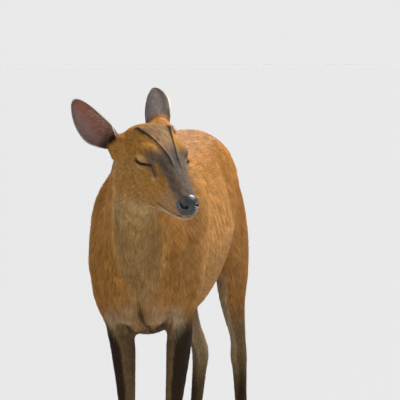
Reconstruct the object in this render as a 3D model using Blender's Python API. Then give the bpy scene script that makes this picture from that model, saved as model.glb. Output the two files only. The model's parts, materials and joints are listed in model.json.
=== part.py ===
"""A doe red muntjac standing with her head turned to her left, life size, in metres, +Z up.

She faces -Y with her left side at +X. The flesh is lofted whole, blended, and parted with thin cuts.
"""
import math

import bmesh
import bpy
import numpy as np
from mathutils import Matrix, Vector

# Driving sizes
shoulderHeight = 0.55
unit = shoulderHeight / 0.55
gap = 0.00036
grain = 0.0030 * unit
wantedFaces = 6800
faceDetail = 0.0035
faceShare = 0.3

# Trunk sections from chest to rump: y, middle x, top, bottom, half widths high, middle and low
trunkRows = [
    (-0.272, 0.000, 0.442, 0.352, 0.026, 0.038, 0.026),
    (-0.254, 0.000, 0.487, 0.318, 0.043, 0.062, 0.040),
    (-0.215, -0.002, 0.526, 0.298, 0.055, 0.076, 0.047),
    (-0.160, -0.008, 0.555, 0.289, 0.060, 0.083, 0.050),
    (-0.100, -0.015, 0.566, 0.286, 0.064, 0.092, 0.057),
    (-0.030, -0.021, 0.569, 0.288, 0.067, 0.099, 0.065),
    (0.040, -0.023, 0.577, 0.297, 0.068, 0.101, 0.067),
    (0.105, -0.021, 0.587, 0.313, 0.066, 0.096, 0.061),
    (0.165, -0.015, 0.592, 0.338, 0.060, 0.083, 0.050),
    (0.220, -0.009, 0.588, 0.366, 0.053, 0.071, 0.042),
    (0.270, -0.004, 0.569, 0.394, 0.044, 0.058, 0.036),
    (0.308, 0.000, 0.542, 0.424, 0.032, 0.042, 0.027),
    (0.328, 0.002, 0.513, 0.455, 0.017, 0.023, 0.014),
]
trunkHeights = (0.86, 0.46, 0.12)
brisketAt = (0.001, -0.245, 0.395)
brisketSize = (0.045, 0.036, 0.085)

# Muscles and the folds between them, on both sides of the middle: path, half width and height
bodyFolds = [
    ([(0.045, -0.100, 0.555), (0.078, -0.170, 0.470), (0.078, -0.215, 0.400)], 0.016, 0.0025),
    ([(0.085, -0.115, 0.500), (0.090, -0.125, 0.400), (0.075, -0.125, 0.345)], 0.010, -0.0030),
    ([(0.070, -0.140, 0.325), (0.066, -0.135, 0.345)], 0.011, 0.0030),
    ([(0.050, 0.160, 0.570), (0.062, 0.175, 0.555)], 0.016, 0.0040),
    ([(0.085, 0.125, 0.520), (0.085, 0.130, 0.470)], 0.024, -0.0050),
    ([(0.082, 0.125, 0.420), (0.066, 0.130, 0.365)], 0.010, -0.0035),
    ([(0.052, 0.285, 0.500), (0.055, 0.270, 0.430), (0.045, 0.240, 0.350)], 0.007, -0.0028),
    ([(0.055, 0.215, 0.320), (0.050, 0.238, 0.270), (0.046, 0.250, 0.245)], 0.005, -0.0020),
    ([(0.020, -0.277, 0.430), (0.026, -0.265, 0.370), (0.027, -0.245, 0.325)], 0.013, 0.0050),
    ([(0, -0.283, 0.375), (0, -0.273, 0.345), (0, -0.250, 0.312), (0, -0.180, 0.295)], 0.008, -0.0070),
    ([(0.054, -0.238, 0.380), (0.050, -0.228, 0.335), (0.028, -0.205, 0.300)], 0.007, -0.0040),
]

# Head, in its own frame: x to its left, y forward to the nose, z up, from the middle between the eyes.
# Sections: y, top, bottom, then half width and height of the upper, middle and lower corners
headPlace = Vector((0.0640, -0.3940, 0.5640)) * unit
headAhead = Vector((0.589, -0.776, -0.228))
headLeft = Vector((0.800, 0.599, 0.045))
headRows = [
    (-0.088, 0.016, -0.044, 0.020, 0.008, 0.028, -0.012, 0.018, -0.036),
    (-0.078, 0.028, -0.058, 0.026, 0.018, 0.035, -0.012, 0.025, -0.047),
    (-0.060, 0.037, -0.069, 0.029, 0.026, 0.0390, -0.010, 0.0285, -0.056),
    (-0.038, 0.041, -0.075, 0.030, 0.031, 0.0400, -0.008, 0.0290, -0.060),
    (-0.015, 0.039, -0.077, 0.0305, 0.028, 0.0395, -0.008, 0.0270, -0.062),
    (0.008, 0.031, -0.076, 0.0290, 0.0200, 0.0380, -0.012, 0.0240, -0.062),
    (0.028, 0.021, -0.0735, 0.0235, 0.0120, 0.0325, -0.021, 0.0205, -0.062),
    (0.048, 0.0090, -0.071, 0.0185, 0.0015, 0.0264, -0.032, 0.0180, -0.0615),
    (0.068, -0.0045, -0.070, 0.0150, -0.0105, 0.0218, -0.040, 0.0160, -0.0615),
    (0.086, -0.0165, -0.0695, 0.0135, -0.0215, 0.0186, -0.045, 0.0145, -0.0620),
    (0.100, -0.0255, -0.0660, 0.0125, -0.0300, 0.0152, -0.046, 0.0112, -0.0605),
    (0.109, -0.0315, -0.0585, 0.0100, -0.0355, 0.0116, -0.046, 0.0080, -0.0545),
    (0.1135, -0.038, -0.0520, 0.0056, -0.0410, 0.0065, -0.045, 0.0046, -0.0490),
]
eyeCentre = Vector((0.0268, 0.010, -0.002))
gaze = Vector((0.85, 0.52, 0.05))
eyeRadius = 0.0128 * unit
lidThickness = 0.0019 * unit
# Rounded forms that the head's sections leave flat: middle and half sizes, on both sides if off the middle
faceLumps = {
    "brow": ((0.0205, 0.004, 0.0095), (0.0185, 0.030, 0.0165)),
    "cheek": ((0.0175, -0.028, -0.041), (0.0205, 0.040, 0.030)),
    "lip": ((0.0085, 0.0835, -0.0490), (0.0085, 0.0220, 0.0105)),
    "chin": ((0.0, 0.086, -0.0615), (0.0105, 0.019, 0.0080)),
    "noseBulb": ((0.0, 0.1000, -0.0405), (0.0124, 0.0112, 0.0142)),
}

# Limbs: x, y, z, half across and half deep of each section; x is for the left side
foreRows = [
    (0.042, -0.125, 0.534, 0.021, 0.030),
    (0.057, -0.150, 0.482, 0.030, 0.048),
    (0.059, -0.178, 0.415, 0.029, 0.060),
    (0.057, -0.187, 0.365, 0.0265, 0.057),
    (0.048, -0.176, 0.322, 0.0210, 0.046),
    (0.044, -0.165, 0.287, 0.0200, 0.0345),
    (0.041, -0.163, 0.252, 0.0185, 0.0260),
    (0.038, -0.165, 0.215, 0.0155, 0.0195),
    (0.036, -0.167, 0.187, 0.0138, 0.0160),
    (0.0355, -0.168, 0.170, 0.0146, 0.0175),
    (0.0355, -0.165, 0.148, 0.0114, 0.0143),
    (0.0355, -0.163, 0.105, 0.0100, 0.0122),
    (0.0355, -0.163, 0.072, 0.0106, 0.0120),
    (0.0355, -0.164, 0.056, 0.0126, 0.0143),
    (0.0355, -0.172, 0.038, 0.0118, 0.0122),
    (0.0355, -0.181, 0.022, 0.0128, 0.0130),
    (0.0355, -0.184, 0.010, 0.0124, 0.0125),
]
hindRows = [
    (0.020, 0.205, 0.535, 0.022, 0.040),
    (0.031, 0.212, 0.490, 0.029, 0.070),
    (0.036, 0.210, 0.435, 0.031, 0.083),
    (0.039, 0.203, 0.385, 0.0280, 0.077),
    (0.040, 0.196, 0.345, 0.0235, 0.060),
    (0.039, 0.203, 0.310, 0.0190, 0.037),
    (0.037, 0.228, 0.277, 0.0150, 0.0255),
    (0.033, 0.252, 0.250, 0.0130, 0.0205),
    (0.031, 0.265, 0.228, 0.0140, 0.0225),
    (0.033, 0.265, 0.200, 0.0122, 0.0170),
    (0.036, 0.259, 0.155, 0.0104, 0.0132),
    (0.041, 0.253, 0.100, 0.0101, 0.0122),
    (0.044, 0.251, 0.076, 0.0108, 0.0124),
    (0.045, 0.249, 0.058, 0.0130, 0.0146),
    (0.045, 0.240, 0.039, 0.0120, 0.0122),
    (0.045, 0.231, 0.022, 0.0128, 0.0130),
    (0.045, 0.228, 0.010, 0.0124, 0.0125),
]
hindShift = 0.020 * unit
driftSpan = 0.28
fetlock = 13
dewclawAt = (0.0082, 0.0130, 0.050)
dewclawSize = (0.0042, 0.0052, 0.0075)

# Tail: x, y, z, half across and half deep, from inside the rump out to the tips of its hair
tailRows = [
    (0.002, 0.285, 0.556, 0.0160, 0.0140),
    (0.003, 0.314, 0.552, 0.0165, 0.0145),
    (0.004, 0.336, 0.536, 0.0175, 0.0130),
    (0.004, 0.347, 0.505, 0.0190, 0.0110),
    (0.004, 0.351, 0.468, 0.0185, 0.0095),
    (0.004, 0.352, 0.430, 0.0150, 0.0075),
    (0.004, 0.352, 0.400, 0.0085, 0.0050),
    (0.004, 0.351, 0.386, 0.0030, 0.0030),
]
tailSeat = Vector((0.0028, 0.326, 0.5445)) * unit
tailWay = Vector((0.04, 0.80, -0.60))
tailReach = 0.0225 * unit
tailCore = 0.72
# Locks of the tail: tiers down it, locks in a tier, their spread, length and half thickness
tailTiers = (0.30, 0.45, 0.60, 0.74, 0.87)
tierLocks = 5
lockSpread = math.radians(84)
lockLong = 0.042 * unit
lockWide = 0.0062 * unit
lockThick = 0.0014 * unit

# Ears in the head's frame: root, way to the tip, way the cup opens, and bow of the outer edge
earLength = 0.088 * unit
earWide = 0.0220 * unit
earDeep = 0.0150 * unit
earWall = 0.0022 * unit
ears = {
    "left": ((0.0265, -0.0635, 0.0245), (0.308, -0.885, 0.350), (0.746, -0.203, -0.624), 0.001),
    "right": ((-0.0390, -0.0620, 0.0050), (-0.720, -0.120, 0.684), (-0.166, 0.915, -0.233), 0.008),
}
earRootRadius = 0.0135 * unit
earStart = 0.008 * unit
# The root of an ear on the head: steps along it and its radius there
earRootLevels = [(-1.8, 1.5), (-0.9, 1.35), (0.0, 1.12), (1.0, 1.0), (1.8, 0.98)]
# Levels of an ear from root to tip
earLevels = (0.0, 0.05, 0.11, 0.18, 0.27, 0.38, 0.50, 0.62, 0.73, 0.83, 0.91, 0.965, 1.0)
earSteps = 8

# Hooves: half length and half width of a toe's sole, height at the toe, and slope of the hair line
hoofLong = 0.0152 * unit
hoofWide = 0.0060 * unit
hoofTall = 0.0215 * unit
hoofSlope = 0.30
toeApart = 0.0071 * unit
hoofAhead = 0.0255 * unit
# Levels of a hoof: share of its height, of its length and width, and how far the level lies back
hoofLevels = [(0, 1, 0.97, 0), (0.14, 1, 1, 0.02), (0.58, 0.83, 0.96, 0.17), (1, 0.67, 0.88, 0.32)]

# Face: the slit of the closed eye, nostril, line of the mouth and nose pad
slitHalf = 0.0155 * unit
slitOpen = 0.0034 * unit
slitSag = 0.0018 * unit
slitTilt = math.radians(-1)
mouthPath = [
    (0.0225, 0.047, -0.0530),
    (0.0205, 0.058, -0.0565),
    (0.0180, 0.073, -0.0585),
    (0.0155, 0.089, -0.0590),
    (0.0100, 0.101, -0.0585),
    (0.0000, 0.1070, -0.0580),
]
mouthDeep = 0.0045 * unit
mouthGap = 0.0011 * unit
nostrilAt = (0.0072, 0.110, -0.0405)
nostrilWay = (-0.35, -0.90, 0.10)
nostrilRadius = 0.0030 * unit
nostrilDeep = 0.0095 * unit
nosePad = [(0.1015, -0.010), (0.0985, -0.0555), (0.130, -0.0555), (0.130, -0.010)]

# Where the flesh is parted: a point on each cut and the way it faces, in the world or the head's frame
neckBase = ((0.0, -0.165, 0.570), (0.0, -0.764, 0.645))
headBase = ((0.0, -0.090, 0.030), (0.0, -0.963, -0.270))
limbCuts = {
    "foreleg": [
        ("shoulder", None, None),
        ("forearm", (-0.165, 0.292), (0.35, -1.0)),
        ("cannon", (-0.167, 0.170), (0.0, -1.0)),
        ("foot", (-0.164, 0.056), (-0.45, -1.0)),
    ],
    "hindleg": [
        ("thigh", None, None),
        ("gaskin", (0.196, 0.330), (0.55, -1.0)),
        ("cannon", (0.265, 0.226), (0.25, -1.0)),
        ("foot", (0.249, 0.058), (-0.45, -1.0)),
    ],
}

# Blocks that hold a limb: height, front, back and inner face, from the floor to the top of its muscles
limbBlocks = {
    "foreleg": [
        (-0.02, -0.260, -0.080, 0.0030),
        (0.270, -0.245, -0.105, 0.0030),
        (0.305, -0.245, -0.112, 0.0060),
        (0.380, -0.262, -0.112, 0.0300),
        (0.455, -0.235, -0.115, 0.0430),
        (0.505, -0.180, -0.130, 0.0480),
    ],
    "hindleg": [
        (-0.02, 0.150, 0.345, 0.0030),
        (0.300, 0.120, 0.345, 0.0030),
        (0.350, 0.112, 0.345, 0.0060),
        (0.440, 0.125, 0.345, 0.0290),
        (0.515, 0.170, 0.305, 0.0450),
        (0.535, 0.200, 0.270, 0.0470),
    ],
}
limbOuter = 0.20

# Finishes: colour, roughness and metallic value
finishes = {
    "coat": ((0.36, 0.16, 0.06), 0.85, 0.0),
    "neckCoat": ((0.36, 0.21, 0.10), 0.85, 0.0),
    "faceCoat": ((0.30, 0.16, 0.07), 0.80, 0.0),
    "darkCoat": ((0.07, 0.045, 0.03), 0.85, 0.0),
    "legCoat": ((0.17, 0.10, 0.06), 0.85, 0.0),
    "earSkin": ((0.28, 0.19, 0.17), 0.75, 0.0),
    "nosePad": ((0.012, 0.012, 0.013), 0.25, 0.0),
    "eye": ((0.010, 0.006, 0.004), 0.08, 0.0),
    "horn": ((0.030, 0.024, 0.020), 0.40, 0.0),
    "tailCoat": ((0.42, 0.17, 0.06), 0.85, 0.0),
}

sidesOf = {"left": 1.0, "right": -1.0}


def smoothRows(rows, perSpan):
    """Rows read from a smooth curve through the given ones."""
    keys = np.array(rows, float)
    padded = np.vstack([2 * keys[0] - keys[1], keys, 2 * keys[-1] - keys[-2]])
    made = []
    for i in range(1, len(padded) - 2):
        made += [curvePoint(*padded[i - 1 : i + 3], step / perSpan) for step in range(perSpan)]
    made.append(keys[-1])
    return np.array(made)


def curvePoint(before, start, end, after, t):
    """The place at t from start to end on a smooth curve through four points."""
    bend = 2 * before - 5 * start + 4 * end - after
    twist = 3 * start - before - 3 * end + after
    return 0.5 * (2 * start + (end - before) * t + bend * t**2 + twist * t**3)


def meshFromRings(name, rings, fan=True):
    """A closed mesh through rings of equal count, with a fan or one flat face over each end."""
    rings = [np.asarray(ring, float) for ring in rings]
    count = len(rings[0])
    points = np.vstack(rings + [rings[0].mean(0)[None], rings[-1].mean(0)[None]])
    faces = []
    for i in range(len(rings) - 1):
        for j in range(count):
            k = (j + 1) % count
            faces.append((i * count + j, i * count + k, (i + 1) * count + k, (i + 1) * count + j))
    first = len(rings) * count
    last = (len(rings) - 1) * count
    if not fan:
        faces += [tuple(range(count)), tuple(range(last, last + count))]
        return meshObject(name, points[:-2], faces)
    for j in range(count):
        k = (j + 1) % count
        faces.append((first, k, j))
        faces.append((first + 1, last + j, last + k))
    return meshObject(name, points, faces)


def meshObject(name, points, faces):
    mesh = bpy.data.meshes.new(name)
    mesh.from_pydata([tuple(p) for p in points], [], faces)
    edit = bmesh.new()
    edit.from_mesh(mesh)
    bmesh.ops.triangulate(edit, faces=[face for face in edit.faces if len(face.verts) > 4])
    bmesh.ops.recalc_face_normals(edit, faces=edit.faces)
    edit.to_mesh(mesh)
    edit.free()
    made = bpy.data.objects.new(name, mesh)
    bpy.context.scene.collection.objects.link(made)
    return made


def cornerRing(corners, perSpan=4):
    """A smooth closed section through its top, three corners a side, and its bottom."""
    top, high, middle, low, bottom = corners
    loop = [top, high, middle, low, bottom]
    loop += [(-x, z) for x, z in (low, middle, high)]
    keys = np.array(loop, float)
    made = []
    for i in range(len(keys)):
        around = [keys[(i + k) % len(keys)] for k in (-1, 0, 1, 2)]
        made += [curvePoint(*around, step / perSpan) for step in range(perSpan)]
    return np.array(made)


def trunkForm():
    rings = []
    for y, x, top, bottom, high, middle, low in smoothRows(trunkRows, 4):
        tall = top - bottom
        heights = [bottom + share * tall for share in trunkHeights]
        corners = [(0, top), (high, heights[0]), (middle, heights[1]), (low, heights[2]), (0, bottom)]
        rings.append([(x + cx, y, cz) for cx, cz in cornerRing(corners)])
    return meshFromRings("trunk", np.array(rings) * unit)


def headFrame():
    ahead = headAhead.normalized()
    left = (headLeft - headLeft.dot(ahead) * ahead).normalized()
    up = ahead.cross(left)
    turned = Matrix((left, ahead, up)).transposed().to_4x4()
    return Matrix.Translation(headPlace) @ turned


def inHead(x, y, z):
    return headFrame() @ (Vector((x, y, z)) * unit)


def headForm():
    frame = headFrame()
    rings = []
    for y, top, bottom, highX, highZ, midX, midZ, lowX, lowZ in smoothRows(headRows, 4):
        corners = [(0, top), (highX, highZ), (midX, midZ), (lowX, lowZ), (0, bottom)]
        rings.append([frame @ (Vector((x, y, z)) * unit) for x, z in cornerRing(corners)])
    return meshFromRings("skull", rings)


def sweep(name, rows, across, sides=20, perSpan=4):
    """A limb along its rows; each section lies square to the path, with its width along across."""
    rows = smoothRows(rows, perSpan) * unit
    centres = rows[:, :3]
    along = np.gradient(centres, axis=0)
    along /= np.linalg.norm(along, axis=1)[:, None]
    width = np.asarray(across, float)
    if width.ndim == 1:
        width = np.tile(width, (len(rows), 1))
    else:
        width = smoothRows(width, perSpan)
    width = width - (width * along).sum(1)[:, None] * along
    width /= np.linalg.norm(width, axis=1)[:, None]
    deep = np.cross(along, width)
    turn = np.linspace(0, 2 * math.pi, sides, endpoint=False)
    rings = []
    for centre, w, d, row in zip(centres, width, deep, rows):
        rings.append(centre + np.outer(np.cos(turn) * row[3], w) + np.outer(np.sin(turn) * row[4], d))
    return meshFromRings(name, rings)


def neckForm():
    nape = inHead(0.0, -0.060, -0.012) / unit
    rows = [
        (-0.004, -0.130, 0.440, 0.054, 0.106),
        (-0.003, -0.185, 0.448, 0.060, 0.114),
        (-0.001, -0.234, 0.470, 0.056, 0.100),
        (0.004, -0.279, 0.503, 0.0455, 0.0755),
        (0.014, -0.320, 0.537, 0.0390, 0.0590),
        (nape.x - 0.002, nape.y + 0.010, nape.z - 0.008, 0.0370, 0.0500),
        (*inHead(0.0, -0.030, -0.010) / unit, 0.032, 0.040),
    ]
    side = headLeft.normalized()
    start = Vector((1.0, 0.0, 0.0))
    widths = [start.lerp(side, max(0.0, (i - 2) / 4)) for i in range(len(rows))]
    return sweep("neckLoft", rows, [tuple(w) for w in widths], sides=28)


def limbForm(name, rows, side, shift):
    """A limb whose foot is moved sideways by shift, less and less over driftSpan to the trunk."""
    top = rows[0][2]
    placed = []
    for x, y, z, across, deep in rows:
        drift = shift / unit * min(1.0, max(0.0, (top - z) / driftSpan))
        placed.append((side * x + drift, y, z, across, deep))
    return sweep(name, placed, (1.0, 0.0, 0.0))


def ball(name, centre, radii, turned=None, rings=12, sides=20):
    """An ellipsoid with its axes along turned's columns."""
    made = bmesh.new()
    bmesh.ops.create_uvsphere(made, u_segments=sides, v_segments=rings, radius=1.0)
    frame = Matrix.Translation(centre) @ (turned.to_4x4() if turned else Matrix.Identity(4))
    bmesh.ops.transform(made, matrix=frame @ Matrix.Diagonal((*radii, 1.0)), verts=made.verts)
    bmesh.ops.recalc_face_normals(made, faces=made.faces)
    mesh = bpy.data.meshes.new(name)
    made.to_mesh(mesh)
    made.free()
    placed = bpy.data.objects.new(name, mesh)
    bpy.context.scene.collection.objects.link(placed)
    return placed


def headLumps():
    """Lids, brows, cheeks, chin, bulb of the nose and ear roots, which the sections alone leave flat."""
    turned = headFrame().to_3x3()
    lumps = []
    bump = eyeRadius + lidThickness
    for side in sidesOf.values():
        lumps.append(ball("lid", inHead(side * eyeCentre.x, *eyeCentre.yz), (bump, bump * 1.1, bump), turned))
    for name, (place, radii) in faceLumps.items():
        for side in sidesOf.values() if place[0] else (1.0,):
            spot = inHead(side * place[0], place[1], place[2])
            lumps.append(ball(name, spot, np.array(radii) * unit, turned))
    for root, tip, _, _ in ears.values():
        way = Vector(tip).normalized() * (earStart / unit)
        rows = []
        for step, radius in earRootLevels:
            spot = inHead(*(Vector(root) + way * step)) / unit
            rows.append((*spot, radius * earRootRadius / unit, radius * earRootRadius / unit))
        lumps.append(sweep("earStub", rows, tuple(turned @ Vector((0, 1, 0.3)))))
    return lumps


def evaluated(thing):
    """The object's mesh with its modifiers applied."""
    graph = bpy.context.evaluated_depsgraph_get()
    fresh = bpy.data.meshes.new_from_object(thing.evaluated_get(graph))
    thing.modifiers.clear()
    old = thing.data
    thing.data = fresh
    bpy.data.meshes.remove(old)
    return thing


def remove(thing):
    bpy.data.objects.remove(thing)


def joined(name, pieces):
    """Several meshes put in one object, still overlapping."""
    edit = bmesh.new()
    for piece in pieces:
        edit.from_mesh(piece.data)
    mesh = bpy.data.meshes.new(name)
    edit.to_mesh(mesh)
    edit.free()
    for piece in pieces:
        remove(piece)
    made = bpy.data.objects.new(name, mesh)
    bpy.context.scene.collection.objects.link(made)
    return made


def pointsOf(mesh):
    flat = np.zeros(len(mesh.vertices) * 3)
    mesh.vertices.foreach_get("co", flat)
    return flat.reshape(-1, 3)


def relax(mesh, share, rounds):
    """Rounds off the blended flesh: each point moves by share towards its neighbours, then part way back."""
    points = pointsOf(mesh)
    ends = np.zeros(len(mesh.edges) * 2, np.int64)
    mesh.edges.foreach_get("vertices", ends)
    ends = ends.reshape(-1, 2)
    degree = np.bincount(ends.ravel(), minlength=len(points))[:, None]
    for turn in range(rounds):
        pull = share if turn % 2 == 0 else -0.75 * share
        total = np.zeros_like(points)
        for axis in range(3):
            total[:, axis] = np.bincount(ends[:, 0], points[ends[:, 1], axis], len(points))
            total[:, axis] += np.bincount(ends[:, 1], points[ends[:, 0], axis], len(points))
        points = points + pull * (total / degree - points)
    mesh.vertices.foreach_set("co", points.ravel())
    mesh.update()


def softness(points):
    """How much each point is rounded off: little on the face and feet, fully on the trunk."""
    inverse = np.array(headFrame().inverted())
    local = points @ inverse[:3, :3].T + inverse[:3, 3]
    face = np.clip((local[:, 1] + 0.075 * unit) / (0.03 * unit), 0, 1)
    away = np.linalg.norm(local - np.array((0, 0.01, -0.02)) * unit, axis=1)
    face *= np.clip((0.150 * unit - away) / (0.02 * unit), 0, 1)
    foot = np.clip((0.30 * unit - points[:, 2]) / (0.05 * unit), 0, 1)
    return (1 - 0.62 * face) * (1 - 0.72 * foot)


def footLumps(side, foot, shift):
    """The two dewclaws behind a fetlock."""
    x, y = foot[0] * side * unit + shift, foot[1] * unit
    aside, behind, high = np.array(dewclawAt) * unit
    radii = np.array(dewclawSize) * unit
    spots = [Vector((x + toe * aside, y + behind, high)) for toe in (-1, 1)]
    return [ball("dewclaw", spot, radii, None, 8, 12) for spot in spots]


def ridgeHeight(points):
    """How far the two brow ridges and their tufted knobs stand up, as measured on the head."""
    inverse = np.array(headFrame().inverted())
    local = (points @ inverse[:3, :3].T + inverse[:3, 3]) / unit
    x, y, z = np.abs(local[:, 0]), local[:, 1], local[:, 2]
    t = np.clip((0.045 - y) / 0.075, 0, 1)
    middle = 0.0060 + 0.0190 * t**1.15
    near = np.exp(-(((x - middle) / 0.0032) ** 2))
    ends = np.clip((0.062 - y) / 0.02, 0, 1) * np.clip((y + 0.042) / 0.010, 0, 1)
    above = np.clip((z + 0.012) / 0.01, 0, 1)
    knob = np.exp(-(((x - 0.0255) / 0.0055) ** 2) - ((y + 0.030) / 0.0085) ** 2)
    return (0.0016 * near * ends + 0.0030 * knob) * above * unit


def awayFrom(points, path):
    """How far each point lies from a line through the path."""
    path = np.array(path, float) * unit
    away = np.full(len(points), np.inf)
    for a, b in zip(path[:-1], path[1:]):
        span = b - a
        t = np.clip(((points - a) @ span) / (span @ span), 0, 1)
        away = np.minimum(away, np.linalg.norm(points - a - t[:, None] * span, axis=1))
    return away


def foldHeight(points):
    """How far muscles stand up and folds sink in, mirrored about the middle of the trunk or legs."""
    rows = np.array(trunkRows) * unit
    x, y, z = points.T
    trunk = np.clip((z / unit - 0.30) / 0.06, 0, 1)
    hindLegs = np.clip((y / unit - 0.12) / 0.03, 0, 1) * np.clip((0.36 - z / unit) / 0.08, 0, 1)
    middle = np.interp(y, rows[:, 0], rows[:, 1]) * trunk + hindShift * hindLegs
    paired = np.column_stack([np.abs(x - middle), y, z])
    height = np.zeros(len(points))
    for path, wide, high in bodyFolds:
        height += high * np.exp(-((awayFrom(paired, path) / (wide * unit)) ** 2))
    away = np.linalg.norm(points - np.array(inHead(0, 0.01, -0.02)), axis=1)
    return height * unit * np.clip((away / unit - 0.135) / 0.015, 0, 1)


def blendedFlesh(grainSize, rounds):
    """The whole animal's flesh as one closed, smoothly blended mesh, without ears, hooves and tail."""
    pieces = [trunkForm(), neckForm(), headForm(), *headLumps()]
    pieces.append(ball("brisket", Vector(brisketAt) * unit, np.array(brisketSize) * unit))
    pieces.append(sweep("tailRoot", tailRows[:4], (1.0, 0.0, 0.0)))
    for side in sidesOf.values():
        pieces.append(limbForm("fore", foreRows, side, 0.0))
        pieces.append(limbForm("hind", hindRows, side, hindShift))
        pieces += footLumps(side, foreRows[fetlock], 0.0)
        pieces += footLumps(side, hindRows[fetlock], hindShift)
    flesh = joined("flesh", pieces)
    blend = flesh.modifiers.new("blend", "REMESH")
    blend.mode = "VOXEL"
    blend.voxel_size = grainSize
    evaluated(flesh)
    share = 0.55 * softness(pointsOf(flesh.data))[:, None]
    relax(flesh.data, share, rounds)
    points = pointsOf(flesh.data)
    normals = np.zeros(len(points) * 3)
    flesh.data.vertices.foreach_get("normal", normals)
    points += normals.reshape(-1, 3) * (ridgeHeight(points) + foldHeight(points))[:, None]
    flesh.data.vertices.foreach_set("co", points.ravel())
    flesh.data.update()
    return flesh


def clearScene():
    for thing in list(bpy.data.objects):
        bpy.data.objects.remove(thing)


def coarser(flesh, faces):
    """Fewer, larger faces on the trunk and limbs than on the head."""
    group = flesh.vertex_groups.new(name="plain")
    points = pointsOf(flesh.data)
    away = np.linalg.norm(points - np.array(inHead(0, 0.020, -0.02)), axis=1) / unit
    weight = np.clip((away - 0.080) / 0.04, 0.0, 1.0)
    for level in range(11):
        chosen = np.flatnonzero(np.round(weight * 10) == level)
        group.add(chosen.tolist(), max(level / 10, faceShare), "REPLACE")
    thin = flesh.modifiers.new("thin", "DECIMATE")
    thin.decimate_type = "COLLAPSE"
    thin.ratio = faces / (2 * len(flesh.data.polygons))
    thin.vertex_group = "plain"
    thin.vertex_group_factor = faceDetail
    thin.use_collapse_triangulate = True
    evaluated(flesh)
    flesh.vertex_groups.clear()
    return flesh


def carved(target, tools, operation="DIFFERENCE", solver="EXACT"):
    """The target less, joined with, or kept only inside all the tools, which are then removed."""
    group = bpy.data.collections.new("tools")
    bpy.context.scene.collection.children.link(group)
    for tool in tools:
        for holder in tool.users_collection:
            holder.objects.unlink(tool)
        group.objects.link(tool)
    cut = target.modifiers.new("cut", "BOOLEAN")
    cut.operation = operation
    cut.operand_type = "COLLECTION"
    cut.collection = group
    cut.solver = solver
    evaluated(target)
    for tool in list(group.objects):
        remove(tool)
    bpy.data.collections.remove(group)
    return target


def largestOnly(thing):
    """Drops loose scraps and keeps the one largest closed surface."""
    edit = bmesh.new()
    edit.from_mesh(thing.data)
    bmesh.ops.triangulate(edit, faces=edit.faces)
    unseen = set(edit.verts)
    groups = []
    while unseen:
        stack = [unseen.pop()]
        group = set(stack)
        while stack:
            for edge in stack.pop().link_edges:
                for vert in edge.verts:
                    if vert in unseen:
                        unseen.discard(vert)
                        group.add(vert)
                        stack.append(vert)
        groups.append(group)
    if groups:
        size = {}
        for i, group in enumerate(groups):
            faces = {face for vert in group for face in vert.link_faces}
            size[i] = sum(face.calc_area() for face in faces)
        best = max(size, key=size.get)
        spare = [vert for i, group in enumerate(groups) if i != best for vert in group]
        bmesh.ops.delete(edit, geom=spare, context="VERTS")
    edit.to_mesh(thing.data)
    edit.free()
    return thing


def copyOf(thing, name):
    made = bpy.data.objects.new(name, thing.data.copy())
    bpy.context.scene.collection.objects.link(made)
    return made


def drum(centre, way, radius, depth, sides=24):
    """A round cutter that starts at centre and runs along way."""
    made = bmesh.new()
    bmesh.ops.create_cone(made, cap_ends=True, segments=sides, radius1=radius, radius2=radius, depth=depth)
    way = Vector(way).normalized()
    turn = way.to_track_quat("Z", "Y").to_matrix().to_4x4()
    place = Matrix.Translation(Vector(centre) + way * depth / 2)
    bmesh.ops.transform(made, matrix=place @ turn, verts=made.verts)
    mesh = bpy.data.meshes.new("drum")
    made.to_mesh(mesh)
    made.free()
    placed = bpy.data.objects.new("drum", mesh)
    bpy.context.scene.collection.objects.link(placed)
    return placed


def limbDrift(kind, z):
    """How far a limb is moved sideways at a height, as limbForm does."""
    if kind == "foreleg":
        return 0.0
    return hindShift * min(1.0, max(0.0, (hindRows[0][2] - z / unit) / driftSpan))


def limbBlock(kind, side, grow):
    """The block that holds one limb, grown by grow on every face that touches the trunk."""
    rings = []
    levels = limbBlocks[kind]
    for i, (z, front, back, inner) in enumerate(levels):
        height = z * unit + (grow if i == len(levels) - 1 else 0.0)
        near = side * (inner * unit - grow) + limbDrift(kind, height)
        far = side * limbOuter
        ahead, behind = front * unit - grow, back * unit + grow
        corners = [(near, ahead), (near, behind), (far, behind), (far, ahead)]
        rings.append([(x, y, height) for x, y in corners])
    return meshFromRings("block", rings)


def parted(flesh, name, makeBlock):
    """Takes what lies in a block off the flesh as a node of its own, leaving the gap between them."""
    taken = copyOf(flesh, name)
    carved(taken, [makeBlock(0.0)], "INTERSECT")
    carved(flesh, [makeBlock(gap)])
    return largestOnly(taken)


def halfSpace(thing, point, way, offset):
    """Keeps what lies behind the plane, and closes the cut with a flat face."""
    edit = bmesh.new()
    edit.from_mesh(thing.data)
    way = Vector(way).normalized()
    found = bmesh.ops.bisect_plane(
        edit,
        geom=edit.verts[:] + edit.edges[:] + edit.faces[:],
        plane_co=Vector(point) + way * offset,
        plane_no=way,
        clear_outer=True,
    )
    rim = [part for part in found["geom_cut"] if isinstance(part, bmesh.types.BMEdge)]
    bmesh.ops.edgeloop_fill(edit, edges=rim)
    bmesh.ops.triangulate(edit, faces=edit.faces)
    bmesh.ops.recalc_face_normals(edit, faces=edit.faces)
    edit.to_mesh(thing.data)
    edit.free()
    return thing


def sliced(whole, names, planes):
    """Parts a piece into named lengths by planes, listed from its first end to its last."""
    pieces = []
    rest = whole
    for name, (point, way) in zip(names[1:], planes):
        beyond = copyOf(rest, name)
        halfSpace(rest, point, way, -gap / 2)
        halfSpace(beyond, point, -Vector(way), -gap / 2)
        pieces.append(rest)
        rest = beyond
    pieces.append(rest)
    for name, piece in zip(names, pieces):
        piece.name = name
        largestOnly(piece)
    return pieces


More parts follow.
